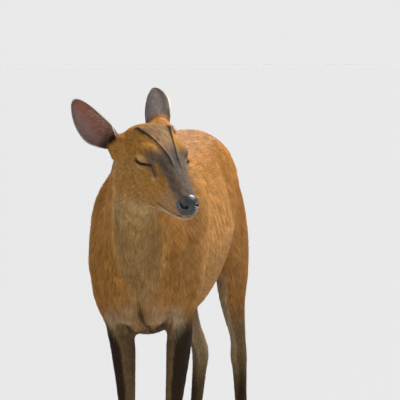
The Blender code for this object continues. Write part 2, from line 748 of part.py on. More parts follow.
def lidSlit(side):
    """The narrow gap between the nearly shut lids, a lens as wide as the eye, cut along the gaze."""
    turned = headFrame().to_3x3()
    look = (turned @ Vector((side * gaze.x, gaze.y, gaze.z))).normalized()
    along = turned @ Vector((-side * gaze.y, gaze.x, 0.0)).normalized()
    up = along.cross(look).normalized() * side
    along = (along * math.cos(slitTilt) + up * math.sin(slitTilt)).normalized()
    up = look.cross(along).normalized() * -side
    if up.dot(turned @ Vector((0, 0, 1))) < 0:
        up = -up
    centre = inHead(side * eyeCentre.x, *eyeCentre.yz)
    rings = []
    steps = 12
    for reach in (0.55, 2.0):
        ring = []
        for i in range(steps):
            turn = 2 * math.pi * i / steps
            wide = slitHalf * math.cos(turn)
            tall = slitOpen / 2 * math.sin(turn) * abs(math.sin(turn)) ** 0.3
            sag = -slitSag * (1 - (wide / slitHalf) ** 2)
            ring.append(centre + look * (eyeRadius * reach) + along * wide + up * (tall + sag))
        rings.append(ring)
    return meshFromRings("slit", rings, False)


def mouthCutter():
    """A thin blade along the line of the mouth, round the muzzle from one corner to the other."""
    path = [Vector(p) * unit for p in mouthPath]
    whole = path + [Vector((-p.x, p.y, p.z)) for p in reversed(path[:-1])]
    frame = headFrame()
    rings = []
    for i, spot in enumerate(whole):
        before, after = whole[max(i - 1, 0)], whole[min(i + 1, len(whole) - 1)]
        along = (after - before).normalized()
        out = Vector((along.y, -along.x, 0)).normalized()
        edge = 0.3 if i in (0, len(whole) - 1) else 1.0
        half = Vector((0, 0, mouthGap / 2 * edge))
        inner = spot - out * mouthDeep * edge
        outer = spot + out * mouthDeep * 1.3
        rings.append([frame @ p for p in (inner + half, outer + half, outer - half, inner - half)])
    return meshFromRings("mouth", rings)


def headBlock(outline, half, grow):
    """A block across the head with its outline in the head's y and z, moved back by grow."""
    frame = headFrame()
    rings = []
    for x in (-half, half):
        ring = []
        for i, (y, z) in enumerate(outline):
            back = grow if i < 2 else 0.0
            under = grow if i in (1, 2) else 0.0
            ring.append(frame @ Vector((x, y * unit - back, z * unit - under)))
        rings.append(ring)
    return meshFromRings("headBlock", rings)


def earForm(side):
    """A cupped ear: each section is a bent wall that opens one way, nearly shut at the root."""
    root, tip, opening = (Vector(v) for v in ears[side][:3])
    turned = headFrame().to_3x3()
    up = (turned @ tip).normalized()
    face = turned @ opening
    face = (face - face.dot(up) * up).normalized()
    wide = up.cross(face).normalized()
    if wide.dot(turned @ Vector((sidesOf[side], 0, -0.6))) < 0:
        wide = -wide
    base = inHead(*root) + up * (earStart + gap)
    rings = []
    for t in earLevels:
        swell = math.sin(math.pi * (0.17 + 0.83 * t) ** 0.95) ** 0.62 if t < 1 else 0.0
        opened = min(1.0, t / 0.26)
        half = max((1 - opened) * earRootRadius + opened * earWide * swell, 0.0020 * unit)
        deep = max((1 - opened) * earRootRadius + opened * earDeep * (1 - t) ** 0.7, 0.0026 * unit)
        reach = math.radians(148 - 60 * opened)
        wall = max(earWall * (1 - 0.40 * t), deep * 0.75 * max(0.0, 1 - t / 0.14))
        wall = min(wall, half * 0.6)
        bow = ears[side][3] * unit * math.sin(math.pi * t**0.75)
        centre = base + up * (earLength * t) - face * (earDeep * 0.45 * t * t) + wide * bow
        outer, inner = [], []
        for i in range(earSteps):
            turn = -reach + 2 * reach * i / (earSteps - 1)
            over, ahead = math.sin(turn), math.cos(turn)
            outer.append(centre + wide * (half * over) - face * (deep * ahead))
            inner.append(centre + wide * ((half - wall) * over) - face * ((deep - wall) * ahead - wall * 0.2))
        rings.append(outer + inner[::-1])
    return meshFromRings("ear_" + side, rings, False)


def hoofForm(name, centre, toe):
    """One claw of a cloven hoof: a pointed flat sole and a smaller top on the slope of the hair line."""
    rings = []
    steps = 12
    for share, long, wide, back in hoofLevels:
        ring = []
        for i in range(steps):
            turn = 2 * math.pi * i / steps
            ahead = hoofLong * (long * math.cos(turn) - back)
            out = hoofWide * wide * math.sin(turn) * (1 - 0.40 * math.cos(turn)) / 1.10
            top = hoofTall - gap - hoofSlope * (hoofLong - ahead) * 0.5
            ring.append((centre.x + toe * toeApart + out, centre.y - ahead, share * top))
        rings.append(ring)
    return meshFromRings(name, rings, False)


def hairLine(centre):
    """A point on the hair line over the toes, and the way down from it."""
    return Vector((centre.x, centre.y - hoofLong, hoofTall)), Vector((0, -hoofSlope * 0.5, -1))


def tailLock(along, turn):
    """One flat, tapered lock: rooted inside the core at turn round it, and bent down over the lock below."""
    rows = smoothRows(tailRows, 8) * unit
    x, y, z, across, deep = rows[int(along * (len(rows) - 1))]
    out = Vector((math.sin(turn), math.cos(turn), 0.0))
    edge = Vector((x + out.x * across, y + out.y * deep, z))
    long = lockLong * (1.15 - 0.45 * along)
    made = []
    for share, lift, wide in ((0.0, -0.55, 0.7), (0.30, -0.02, 1.0), (0.65, 0.06, 0.8), (1.0, 0.02, 0.18)):
        spot = edge + out * (lift * (deep + 0.002 * unit)) - Vector((0, 0, long * share))
        spot.x -= out.x * 0.30 * long * max(0.0, along - 0.5) * share
        made.append((*spot / unit, lockWide / unit * wide, lockThick / unit * max(wide, 0.4)))
    return sweep("lock", made, (out.y, -out.x, 0.0), sides=6, perSpan=1)


def tailForm():
    """The hanging tail: a narrow core in tiers of flat locks that reach out to the tips of its hair."""
    core = []
    for i, (x, y, z, across, deep) in enumerate(tailRows):
        share = 1.0 if i < 3 else tailCore
        core.append((x, y, z, across * share, deep * share))
    tail = sweep("tail", core, (1.0, 0.0, 0.0), sides=12, perSpan=2)
    halfSpace(tail, tailSeat + tailWay.normalized() * gap, -tailWay, 0.0)
    locks = []
    for tier, along in enumerate(tailTiers):
        count = tierLocks - tier % 2
        for i in range(count):
            locks.append(tailLock(along, lockSpread * (2 * i / (count - 1) - 1)))
    carved(tail, locks, "UNION")
    return largestOnly(tail)


def tailClearance():
    """The room that the tail takes out of the rump: the tail itself, grown by a gap, and its seat."""
    grown = [(x, y, z, across + 2 * gap / unit, deep + 2 * gap / unit) for x, y, z, across, deep in tailRows]
    room = sweep("room", grown, (1.0, 0.0, 0.0), sides=12, perSpan=2)
    halfSpace(room, tailSeat + tailWay.normalized() * 0.004 * unit, -tailWay, 0.0)
    return [room, drum(tailSeat, tailWay, tailReach, tailReach)]


def finish(thing, name):
    colour, roughness, metallic = finishes[name]
    made = bpy.data.materials.get(name)
    if made is None:
        made = bpy.data.materials.new(name)
        made.use_nodes = True
        shader = made.node_tree.nodes["Principled BSDF"]
        shader.inputs["Base Color"].default_value = (*colour, 1.0)
        shader.inputs["Roughness"].default_value = roughness
        shader.inputs["Metallic"].default_value = metallic
    thing.data.materials.clear()
    thing.data.materials.append(made)
    return thing


def headDetails(head):
    """Ear seats, sockets, lid slits, the mouth and the nose pad with its nostrils, cut in the head."""
    turned = headFrame().to_3x3()
    tools = [mouthCutter()]
    for name, side in sidesOf.items():
        centre = inHead(side * eyeCentre.x, *eyeCentre.yz)
        eye = ball("eye_" + name, centre, (eyeRadius,) * 3, turned, 10, 16)
        finish(eye, "eye")
        socket = ball("socket", centre, (eyeRadius + gap * 1.3,) * 3, turned, 10, 16)
        tools.append(carved(socket, [lidSlit(side)], "UNION"))
        root, tip, _, _ = ears[name]
        way = turned @ Vector(tip).normalized()
        tools.append(drum(inHead(*root) + way * earStart, way, earRootRadius * 1.7, earRootRadius * 1.6))
        finish(earForm(name), "earSkin")
    for tool in tools:
        carved(head, [tool])
    nose = parted(head, "nose", lambda grow: headBlock(nosePad, 0.030 * unit, grow))
    for side in sidesOf.values():
        way = turned @ Vector((side * nostrilWay[0], nostrilWay[1], nostrilWay[2])).normalized()
        mouthOfNostril = inHead(side * nostrilAt[0], nostrilAt[1], nostrilAt[2]) - way * 0.004 * unit
        carved(nose, [drum(mouthOfNostril, way, nostrilRadius, nostrilDeep, 14)])
    finish(largestOnly(nose), "nosePad")
    finish(largestOnly(head), "faceCoat")


def makeLimb(torso, kind, sideName):
    """One limb parted from the trunk, cut into its lengths, with the two claws of its hoof."""
    side = sidesOf[sideName]
    whole = parted(torso, kind + "_" + sideName, lambda grow: limbBlock(kind, side, grow))
    rows = foreRows if kind == "foreleg" else hindRows
    shift = 0.0 if kind == "foreleg" else hindShift
    foot = Vector((rows[-1][0] * side * unit + shift, rows[-4][1] * unit - hoofAhead, 0.0))
    point, down = hairLine(foot)
    halfSpace(whole, point, down, 0.0)
    names = ["_".join((kind, sideName, cut[0])) for cut in limbCuts[kind]]
    planes = []
    for _, (y, z), (alongY, alongZ) in limbCuts[kind][1:]:
        planes.append((Vector((0, y, z)) * unit, Vector((0, alongY, alongZ))))
    pieces = sliced(whole, names, planes)
    for piece, look in zip(pieces, ("coat", "legCoat", "darkCoat", "darkCoat")):
        finish(piece, look)
    for toe, label in ((1, "outer"), (-1, "inner")):
        claw = hoofForm("_".join(("hoof", kind, sideName, label)), foot, toe * side)
        finish(claw, "horn")


def build():
    clearScene()
    flesh = coarser(blendedFlesh(grain, 60), wantedFaces)
    for tool in tailClearance():
        carved(flesh, [tool])
    frame = headFrame()
    headPoint = frame @ (Vector(headBase[0]) * unit)
    headWay = frame.to_3x3() @ Vector(headBase[1])
    neckPoint = Vector(neckBase[0]) * unit
    torso, upper = sliced(flesh, ["torso", "upper"], [(neckPoint, neckBase[1])])
    head, neck = sliced(upper, ["head", "neck"], [(headPoint, headWay)])
    headDetails(head)
    finish(neck, "neckCoat")
    for kind in limbCuts:
        for sideName in sidesOf:
            makeLimb(torso, kind, sideName)
    finish(largestOnly(torso), "coat")
    finish(tailForm(), "tailCoat")
    centreOnFloor()


def centreOnFloor():
    """Puts the origin on the floor under the middle of the animal's box."""
    solids = list(bpy.context.scene.objects)
    points = np.vstack([pointsOf(solid.data) for solid in solids])
    middle = (points.min(0) + points.max(0)) / 2
    for solid in solids:
        solid.data.transform(Matrix.Translation((-middle[0], -middle[1], 0.0)))


build()
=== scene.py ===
import json
import math
import bmesh
import bpy
import numpy as np
from mathutils import Matrix, Vector

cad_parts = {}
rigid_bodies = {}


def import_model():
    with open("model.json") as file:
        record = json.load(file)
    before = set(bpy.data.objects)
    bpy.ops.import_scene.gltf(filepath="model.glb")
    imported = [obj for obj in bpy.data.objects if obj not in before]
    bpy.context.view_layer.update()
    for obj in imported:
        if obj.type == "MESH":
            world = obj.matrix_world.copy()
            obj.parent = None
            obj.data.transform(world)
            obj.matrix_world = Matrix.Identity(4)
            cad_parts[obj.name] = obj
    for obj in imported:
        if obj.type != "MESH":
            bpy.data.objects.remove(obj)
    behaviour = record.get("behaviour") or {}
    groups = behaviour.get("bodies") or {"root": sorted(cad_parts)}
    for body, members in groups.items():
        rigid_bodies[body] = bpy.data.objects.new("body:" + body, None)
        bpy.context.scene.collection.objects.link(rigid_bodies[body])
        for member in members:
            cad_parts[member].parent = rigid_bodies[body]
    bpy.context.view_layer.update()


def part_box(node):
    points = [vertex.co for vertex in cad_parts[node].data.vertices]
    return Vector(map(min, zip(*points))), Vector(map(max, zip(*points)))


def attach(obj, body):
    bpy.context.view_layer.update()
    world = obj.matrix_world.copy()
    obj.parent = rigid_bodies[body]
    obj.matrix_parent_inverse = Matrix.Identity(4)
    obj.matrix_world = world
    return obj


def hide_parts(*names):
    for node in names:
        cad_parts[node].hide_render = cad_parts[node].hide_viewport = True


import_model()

# A doe red muntjac, life size, in metres. She is built in her own frame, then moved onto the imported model.

# Trunk sections from chest to rump: y, middle x, top, bottom, half widths high, middle and low
trunkRows = [
    (-0.272, 0.000, 0.442, 0.352, 0.026, 0.038, 0.026),
    (-0.254, 0.000, 0.487, 0.318, 0.043, 0.062, 0.040),
    (-0.215, -0.002, 0.526, 0.298, 0.055, 0.076, 0.047),
    (-0.160, -0.008, 0.555, 0.289, 0.060, 0.083, 0.050),
    (-0.100, -0.015, 0.566, 0.286, 0.064, 0.092, 0.057),
    (-0.030, -0.021, 0.569, 0.288, 0.067, 0.099, 0.065),
    (0.040, -0.023, 0.577, 0.297, 0.068, 0.101, 0.067),
    (0.105, -0.021, 0.587, 0.313, 0.066, 0.096, 0.061),
    (0.165, -0.015, 0.592, 0.338, 0.060, 0.083, 0.050),
    (0.220, -0.009, 0.588, 0.366, 0.053, 0.071, 0.042),
    (0.270, -0.004, 0.569, 0.394, 0.044, 0.058, 0.036),
    (0.308, 0.000, 0.542, 0.424, 0.032, 0.042, 0.027),
    (0.328, 0.002, 0.513, 0.455, 0.017, 0.023, 0.014),
]
trunkHeights = (0.86, 0.46, 0.12)
brisket = {"at": (0.001, -0.245, 0.395), "size": (0.045, 0.036, 0.085)}

# Head, in its own frame: x to its left, y ahead to the nose, z up
head = {
    "place": Vector((0.0640, -0.3940, 0.5640)),
    "ahead": Vector((0.589, -0.776, -0.228)),
    "left": Vector((0.800, 0.599, 0.045)),
}
# Sections: y, top, bottom, then half width and height of the upper, middle and lower corners
headRows = [
    (-0.088, 0.016, -0.044, 0.020, 0.008, 0.028, -0.012, 0.018, -0.036),
    (-0.078, 0.028, -0.058, 0.026, 0.018, 0.035, -0.012, 0.025, -0.047),
    (-0.060, 0.037, -0.069, 0.029, 0.026, 0.0390, -0.010, 0.0285, -0.056),
    (-0.038, 0.041, -0.075, 0.030, 0.031, 0.0400, -0.008, 0.0290, -0.060),
    (-0.015, 0.039, -0.077, 0.0305, 0.028, 0.0395, -0.008, 0.0270, -0.062),
    (0.008, 0.031, -0.076, 0.0290, 0.0200, 0.0380, -0.012, 0.0240, -0.062),
    (0.028, 0.021, -0.0735, 0.0235, 0.0120, 0.0325, -0.021, 0.0205, -0.062),
    (0.048, 0.0090, -0.071, 0.0185, 0.0015, 0.0264, -0.032, 0.0180, -0.0615),
    (0.068, -0.0045, -0.070, 0.0150, -0.0105, 0.0218, -0.040, 0.0160, -0.0615),
    (0.086, -0.0165, -0.0695, 0.0135, -0.0215, 0.0186, -0.045, 0.0145, -0.0620),
    (0.100, -0.0255, -0.0660, 0.0125, -0.0300, 0.0152, -0.046, 0.0112, -0.0605),
    (0.109, -0.0315, -0.0585, 0.0100, -0.0355, 0.0116, -0.046, 0.0080, -0.0545),
    (0.1135, -0.038, -0.0520, 0.0056, -0.0410, 0.0065, -0.045, 0.0046, -0.0490),
]
# Lumps of the head: place and half sizes, the first three on both sides
headLumps = {
    "brow": ((0.0205, 0.004, 0.0095), (0.0185, 0.030, 0.0165)),
    "cheek": ((0.0175, -0.028, -0.041), (0.0205, 0.040, 0.030)),
    "lip": ((0.0085, 0.0835, -0.0490), (0.0085, 0.0220, 0.0105)),
    "chin": ((0.0, 0.086, -0.0615), (0.0105, 0.019, 0.0080)),
    "noseBulb": ((0.0, 0.1000, -0.0405), (0.0124, 0.0112, 0.0142)),
}
eye = {
    "centre": Vector((0.0268, 0.010, -0.002)),
    "gaze": Vector((0.85, 0.52, 0.05)),
    "radius": 0.0128,
    "lid": 0.0019,
    "slitHalf": 0.0162,
    "slitAway": 0.0014,
    "slitOpen": 0.0021,
    "slitSag": 0.0013,
    "slitTilt": math.radians(-1),
    "ballShare": 0.955,
    "margins": ((0.35, 0.00015), (1.0, -0.0004)),
}
mouthPath = [
    (0.0225, 0.047, -0.0530),
    (0.0205, 0.058, -0.0565),
    (0.0180, 0.073, -0.0585),
    (0.0155, 0.089, -0.0590),
    (0.0100, 0.101, -0.0585),
    (0.0000, 0.1070, -0.0580),
]
glandPath = [(0.0285, 0.0335, -0.0030), (0.0275, 0.0385, -0.0085), (0.0262, 0.0425, -0.0140)]

# Limbs: x, y, z, half across and half deep of each section; x is for the left side
foreRows = [
    (0.042, -0.125, 0.534, 0.021, 0.030),
    (0.057, -0.150, 0.482, 0.030, 0.048),
    (0.059, -0.178, 0.415, 0.029, 0.060),
    (0.057, -0.187, 0.365, 0.0265, 0.057),
    (0.048, -0.176, 0.322, 0.0210, 0.046),
    (0.044, -0.165, 0.287, 0.0200, 0.0345),
    (0.041, -0.163, 0.252, 0.0185, 0.0260),
    (0.038, -0.165, 0.215, 0.0155, 0.0195),
    (0.036, -0.167, 0.187, 0.0138, 0.0160),
    (0.0355, -0.168, 0.170, 0.0146, 0.0175),
    (0.0355, -0.165, 0.148, 0.0114, 0.0143),
    (0.0355, -0.163, 0.105, 0.0100, 0.0122),
    (0.0355, -0.163, 0.072, 0.0106, 0.0120),
    (0.0355, -0.164, 0.056, 0.0126, 0.0143),
    (0.0355, -0.172, 0.038, 0.0118, 0.0122),
    (0.0355, -0.181, 0.022, 0.0128, 0.0130),
    (0.0355, -0.184, 0.010, 0.0124, 0.0125),
]
hindRows = [
    (0.020, 0.205, 0.535, 0.022, 0.040),
    (0.031, 0.212, 0.490, 0.029, 0.070),
    (0.036, 0.210, 0.435, 0.031, 0.083),
    (0.039, 0.203, 0.385, 0.0280, 0.077),
    (0.040, 0.196, 0.345, 0.0235, 0.060),
    (0.039, 0.203, 0.310, 0.0190, 0.037),
    (0.037, 0.228, 0.277, 0.0150, 0.0255),
    (0.033, 0.252, 0.250, 0.0130, 0.0205),
    (0.031, 0.265, 0.228, 0.0140, 0.0225),
    (0.033, 0.265, 0.200, 0.0122, 0.0170),
    (0.036, 0.259, 0.155, 0.0104, 0.0132),
    (0.041, 0.253, 0.100, 0.0101, 0.0122),
    (0.044, 0.251, 0.076, 0.0108, 0.0124),
    (0.045, 0.249, 0.058, 0.0130, 0.0146),
    (0.045, 0.240, 0.039, 0.0120, 0.0122),
    (0.045, 0.231, 0.022, 0.0128, 0.0130),
    (0.045, 0.228, 0.010, 0.0124, 0.0125),
]
limbs = {
    "hindShift": 0.020,
    "driftOver": 0.28,
    "fetlockRow": 13,
    "dewclawAt": (0.0080, 0.0108, 0.050),
    "dewclawSize": (0.0040, 0.0048, 0.0078),
}
legs = {"foreleg": (foreRows, 0.0), "hindleg": (hindRows, limbs["hindShift"])}
# Tail: x, y, z, half across and half deep, out to the tips of its hair
tailRows = [
    (0.002, 0.285, 0.556, 0.0160, 0.0140),
    (0.003, 0.314, 0.552, 0.0165, 0.0145),
    (0.004, 0.336, 0.536, 0.0175, 0.0130),
    (0.004, 0.347, 0.505, 0.0190, 0.0110),
    (0.004, 0.351, 0.468, 0.0185, 0.0095),
    (0.004, 0.352, 0.430, 0.0150, 0.0075),
    (0.004, 0.352, 0.400, 0.0085, 0.0050),
    (0.004, 0.351, 0.386, 0.0030, 0.0030),
]
tailCore = (0.92, 0.70)
tailBase = {"at": (0.003, 0.329, 0.522), "size": (0.014, 0.012, 0.022)}

# Ears in the head's frame: root, way to the tip, way the cup opens, and bow of the outer edge
ear = {
    "left": ((0.0265, -0.0635, 0.0245), (0.308, -0.885, 0.350), (0.746, -0.203, -0.624), 0.001),
    "right": ((-0.0390, -0.0620, 0.0050), (-0.720, -0.120, 0.684), (-0.166, 0.915, -0.233), 0.008),
    "length": 0.088,
    "wide": 0.0220,
    "deep": 0.0150,
    "wall": 0.0012,
    "rootRadius": 0.0135,
    "start": 0.008,
    "shellStart": 0.006,
    "openBy": 0.26,
    "wrap": (148, 60),
    "lean": 0.45,
    "stub": [(-1.8, 1.75), (-0.9, 1.55), (0.0, 1.38), (0.9, 1.24), (1.3, 1.10), (1.5, 0.85)],
}
hoof = {
    "long": 0.0152,
    "wide": 0.0060,
    "tall": 0.0215,
    "slope": 0.30,
    "apart": 0.0071,
    "ahead": 0.0255,
    "covered": 0.0015,
    "reach": (0.03, 0.07, 0.045),
}
# Where the neck's coat begins behind the head, in the head's frame
nape = {"at": (0.0, -0.090, 0.030), "way": (0.0, -0.963, -0.270)}
sides = {"left": 1.0, "right": -1.0}
blending = {"grain": 0.0030, "pull": 0.55, "rounds": 60}
# Where the skin gets finer faces: distances from the middle of the head and face, then round the eyes' slits
finer = {"head": 0.128, "face": 0.085, "faceMiddle": (0, 0.05, -0.03), "slit": (0.0165, 0.0050)}


def smoothRows(rows, perSpan):
    keys = np.array(rows, float)
    padded = np.vstack([2 * keys[0] - keys[1], keys, 2 * keys[-1] - keys[-2]])
    made = []
    for i in range(1, len(padded) - 2):
        before, start, end, after = padded[i - 1 : i + 3]
        for t in np.arange(perSpan) / perSpan:
            made.append(curvePoint(before, start, end, after, t))
    made.append(keys[-1])
    return np.array(made)


def curvePoint(before, start, end, after, t):
    firm = 2 * before - 5 * start + 4 * end - after
    last = 3 * start - before - 3 * end + after
    return 0.5 * (2 * start + (end - before) * t + firm * t * t + last * t**3)


def cornerRing(corners, perSpan=4):
    top, high, middle, low, bottom = corners
    keys = np.array([top, high, middle, low, bottom] + [(-x, z) for x, z in (low, middle, high)], float)
    made = []
    for i in range(len(keys)):
        around = [keys[(i + k) % len(keys)] for k in (-1, 0, 1, 2)]
        made += [curvePoint(*around, t) for t in np.arange(perSpan) / perSpan]
    return np.array(made)


def linked(name, data):
    thing = bpy.data.objects.new(name, data)
    bpy.context.scene.collection.objects.link(thing)
    return thing


def editing(mesh):
    edit = bmesh.new()
    edit.from_mesh(mesh)
    return edit


def written(edit, mesh):
    edit.to_mesh(mesh)
    edit.free()
    return mesh


def newObject(name, points, faces):
    mesh = bpy.data.meshes.new(name)
    mesh.from_pydata([tuple(p) for p in points], [], faces)
    edit = editing(mesh)
    bmesh.ops.triangulate(edit, faces=[face for face in edit.faces if len(face.verts) > 4])
    bmesh.ops.recalc_face_normals(edit, faces=edit.faces)
    return linked(name, written(edit, mesh))


def loft(name, rings):
    rings = [np.asarray(ring, float) for ring in rings]
    count = len(rings[0])
    points = np.vstack(rings + [rings[0].mean(0)[None], rings[-1].mean(0)[None]])
    faces = []
    for i in range(len(rings) - 1):
        for j in range(count):
            k = (j + 1) % count
            faces.append((i * count + j, i * count + k, (i + 1) * count + k, (i + 1) * count + j))
    first, last = len(rings) * count, (len(rings) - 1) * count
    for j in range(count):
        k = (j + 1) % count
        faces += [(first, k, j), (first + 1, last + j, last + k)]
    return newObject(name, points, faces)


def headFrame():
    ahead = head["ahead"].normalized()
    left = (head["left"] - head["left"].dot(ahead) * ahead).normalized()
    turned = Matrix((left, ahead, ahead.cross(left))).transposed().to_4x4()
    return Matrix.Translation(head["place"]) @ turned


headInverse = np.array(headFrame().inverted())


def inHead(x, y, z):
    return headFrame() @ Vector((x, y, z))


def eyeCentre(side):
    return inHead(side * eye["centre"].x, *eye["centre"].yz)


def toHead(points):
    return points @ headInverse[:3, :3].T + headInverse[:3, 3]


def trunkForm():
    rings = []
    for y, x, top, bottom, high, middle, low in smoothRows(trunkRows, 4):
        heights = [bottom + share * (top - bottom) for share in trunkHeights]
        corners = [(0, top), (high, heights[0]), (middle, heights[1]), (low, heights[2]), (0, bottom)]
        rings.append([(x + cx, y, cz) for cx, cz in cornerRing(corners)])
    return loft("trunk", rings)


def headForm():
    rings = []
    for y, top, bottom, highX, highZ, midX, midZ, lowX, lowZ in smoothRows(headRows, 4):
        corners = [(0, top), (highX, highZ), (midX, midZ), (lowX, lowZ), (0, bottom)]
        rings.append([inHead(x, y, z) for x, z in cornerRing(corners)])
    return loft("skull", rings)


def sweep(name, rows, across, around=20, perSpan=4):
    rows = smoothRows(rows, perSpan)
    centres = rows[:, :3]
    along = np.gradient(centres, axis=0)
    along /= np.linalg.norm(along, axis=1)[:, None]
    width = np.asarray(across, float)
    width = np.tile(width, (len(rows), 1)) if width.ndim == 1 else smoothRows(width, perSpan)
    width = width - (width * along).sum(1)[:, None] * along
    width /= np.linalg.norm(width, axis=1)[:, None]
    deep = np.cross(along, width)
    turn = np.linspace(0, 2 * math.pi, around, endpoint=False)
    rings = []
    for centre, w, d, row in zip(centres, width, deep, rows):
        rings.append(centre + np.outer(np.cos(turn) * row[3], w) + np.outer(np.sin(turn) * row[4], d))
    return loft(name, rings)


def neckForm():
    nape = inHead(0.0, -0.060, -0.012)
    rows = [
        (-0.004, -0.130, 0.440, 0.054, 0.106),
        (-0.003, -0.185, 0.448, 0.060, 0.114),
        (-0.001, -0.234, 0.470, 0.056, 0.100),
        (0.004, -0.279, 0.503, 0.0455, 0.0755),
        (0.014, -0.320, 0.537, 0.0390, 0.0590),
        (nape.x - 0.002, nape.y + 0.010, nape.z - 0.008, 0.0370, 0.0500),
        (*inHead(0.0, -0.030, -0.010), 0.032, 0.040),
    ]
    start, side = Vector((1.0, 0.0, 0.0)), head["left"].normalized()
    widths = [tuple(start.lerp(side, max(0.0, (i - 2) / 4))) for i in range(len(rows))]
    return sweep("neckLoft", rows, widths, around=28)


def driftAt(z, rows, drift):
    # A hind leg moves to the animal's left on its way down
    return drift * np.clip((rows[0][2] - z) / limbs["driftOver"], 0, 1)


def limbForm(name, rows, side, drift):
    placed = [(side * x + driftAt(z, rows, drift), y, z, across, deep) for x, y, z, across, deep in rows]
    return sweep(name, placed, (1.0, 0.0, 0.0))


def ball(name, centre, radii, turned=None, rings=12, around=20):
    made = bmesh.new()
    bmesh.ops.create_uvsphere(made, u_segments=around, v_segments=rings, radius=1.0)
    placed = Matrix.Translation(centre) @ (turned.to_4x4() if turned else Matrix.Identity(4))
    bmesh.ops.transform(made, matrix=placed @ Matrix.Diagonal((*radii, 1.0)), verts=made.verts)
    bmesh.ops.recalc_face_normals(made, faces=made.faces)
    return linked(name, written(made, bpy.data.meshes.new(name)))


def signs(x):
    return (1, -1) if x else (1,)


def lumpForms():
    turned = headFrame().to_3x3()
    made = []
    bump = eye["radius"] + eye["lid"]
    for name, (place, radii) in headLumps.items():
        for side in signs(place[0]):
            made.append(ball(name, inHead(side * place[0], *place[1:]), radii, turned))
    for side in sides.values():
        made.append(ball("lid", eyeCentre(side), (bump, bump * 1.1, bump), turned))
    for name in sides:
        root, tip = ear[name][:2]
        way = Vector(tip).normalized() * ear["start"]
        rows = []
        for step, radius in ear["stub"]:
            wide = radius * ear["rootRadius"]
            rows.append((*inHead(*(Vector(root) + way * step)), wide, wide))
        made.append(sweep("earStub", rows, tuple(turned @ Vector((0, 1, 0.3)))))
    return made


def dewclawPlace(rows, side, drift, toe):
    x, y = rows[limbs["fetlockRow"]][:2]
    across, behind, up = limbs["dewclawAt"]
    return x * side + drift + toe * across, y + behind, up


def footLumps(rows, side, drift):
    spots = [dewclawPlace(rows, side, drift, toe) for toe in (-1, 1)]
    return [ball("dewclaw", Vector(spot), limbs["dewclawSize"], None, 8, 12) for spot in spots]


def evaluated(thing):
    graph = bpy.context.evaluated_depsgraph_get()
    fresh = bpy.data.meshes.new_from_object(thing.evaluated_get(graph))
    thing.modifiers.clear()
    old = thing.data
    thing.data = fresh
    bpy.data.meshes.remove(old)
    return thing


def joined(name, pieces):
    edit = bmesh.new()
    for piece in pieces:
        edit.from_mesh(piece.data)
        bpy.data.objects.remove(piece)
    return linked(name, written(edit, bpy.data.meshes.new(name)))


def pointsOf(mesh, kind="co"):
    flat = np.zeros(len(mesh.vertices) * 3)
    mesh.vertices.foreach_get(kind, flat)
    return flat.reshape(-1, 3)


def normalsOf(mesh):
    return pointsOf(mesh, "normal")


def setPoints(mesh, points):
    mesh.vertices.foreach_set("co", points.ravel())
    mesh.update()


def relax(mesh, share, rounds):
    points = pointsOf(mesh)
    ends = np.zeros(len(mesh.edges) * 2, np.int64)
    mesh.edges.foreach_get("vertices", ends)
    ends = ends.reshape(-1, 2)
    degree = np.bincount(ends.ravel(), minlength=len(points))[:, None]
    for turn in range(rounds):
        pull = share if turn % 2 == 0 else -0.75 * share
        total = np.zeros_like(points)
        for axis in range(3):
            total[:, axis] = np.bincount(ends[:, 0], points[ends[:, 1], axis], len(points))
            total[:, axis] += np.bincount(ends[:, 1], points[ends[:, 0], axis], len(points))
        points = points + pull * (total / degree - points)
    setPoints(mesh, points)


def rise(value, low, high):
    t = np.clip((value - low) / (high - low), 0, 1)
    return t * t * (3 - 2 * t)


def fall(value, low, high):
    # The other way round: 1 up to the low value, 0 from the high one on
    return rise(-value, -high, -low)


def hump(away, half, power=2):
    return np.exp(-((away / half) ** power))


def blob(points, centre, radii):
    return np.exp(-(((points - np.array(centre)) / np.array(radii)) ** 2).sum(1))


def bothSides(local):
    return np.column_stack([np.abs(local[:, 0]), local[:, 1:]])


def fromFace(local, middle=(0, 0.01, -0.02)):
    return np.linalg.norm(local - middle, axis=1)


def behindHead(local):
    return (local - nape["at"]) @ np.array(nape["way"])


def toPath(points, path):
    # Distance to a line of points, and how far along it each nearest place lies, from 0 to 1
    path = np.array(path, float)
    best = np.full(len(points), 9.0)
    share = np.zeros(len(points))
    for i, (a, b) in enumerate(zip(path[:-1], path[1:])):
        span = b - a
        t = np.clip(((points - a) @ span) / (span @ span), 0, 1)
        away = np.linalg.norm(points - a - t[:, None] * span, axis=1)
        near = away < best
        best = np.where(near, away, best)
        share = np.where(near, (i + t) / (len(path) - 1), share)
    return best, share


def ripple(points, size, seed, waves=7):
    # Smooth noise of about that size in metres, from -1 to 1
    random = np.random.default_rng(seed)
    total = np.zeros(len(points))
    for _ in range(waves):
        way = random.normal(size=3)
        way *= 2 * math.pi / size * random.uniform(0.6, 1.4) / np.linalg.norm(way)
        total += np.sin(points @ way + random.uniform(0, 2 * math.pi))
    return total / math.sqrt(waves) / 1.2


def ripples(points, rows):
    return sum(weight * ripple(points, size, seed) for weight, size, seed in rows)


def softness(points):
    # How strongly the blended skin is smoothed: less on the face, the feet and the tail
    local = toHead(points)
    face = np.clip((local[:, 1] + 0.075) / 0.03, 0, 1) * np.clip((0.150 - fromFace(local)) / 0.02, 0, 1)
    foot = np.clip((0.30 - points[:, 2]) / 0.05, 0, 1)
    tail = np.clip((points[:, 1] - 0.338) / 0.005, 0, 1)
    return (1 - 0.62 * face) * (1 - 0.72 * foot) * (1 - 0.8 * tail)


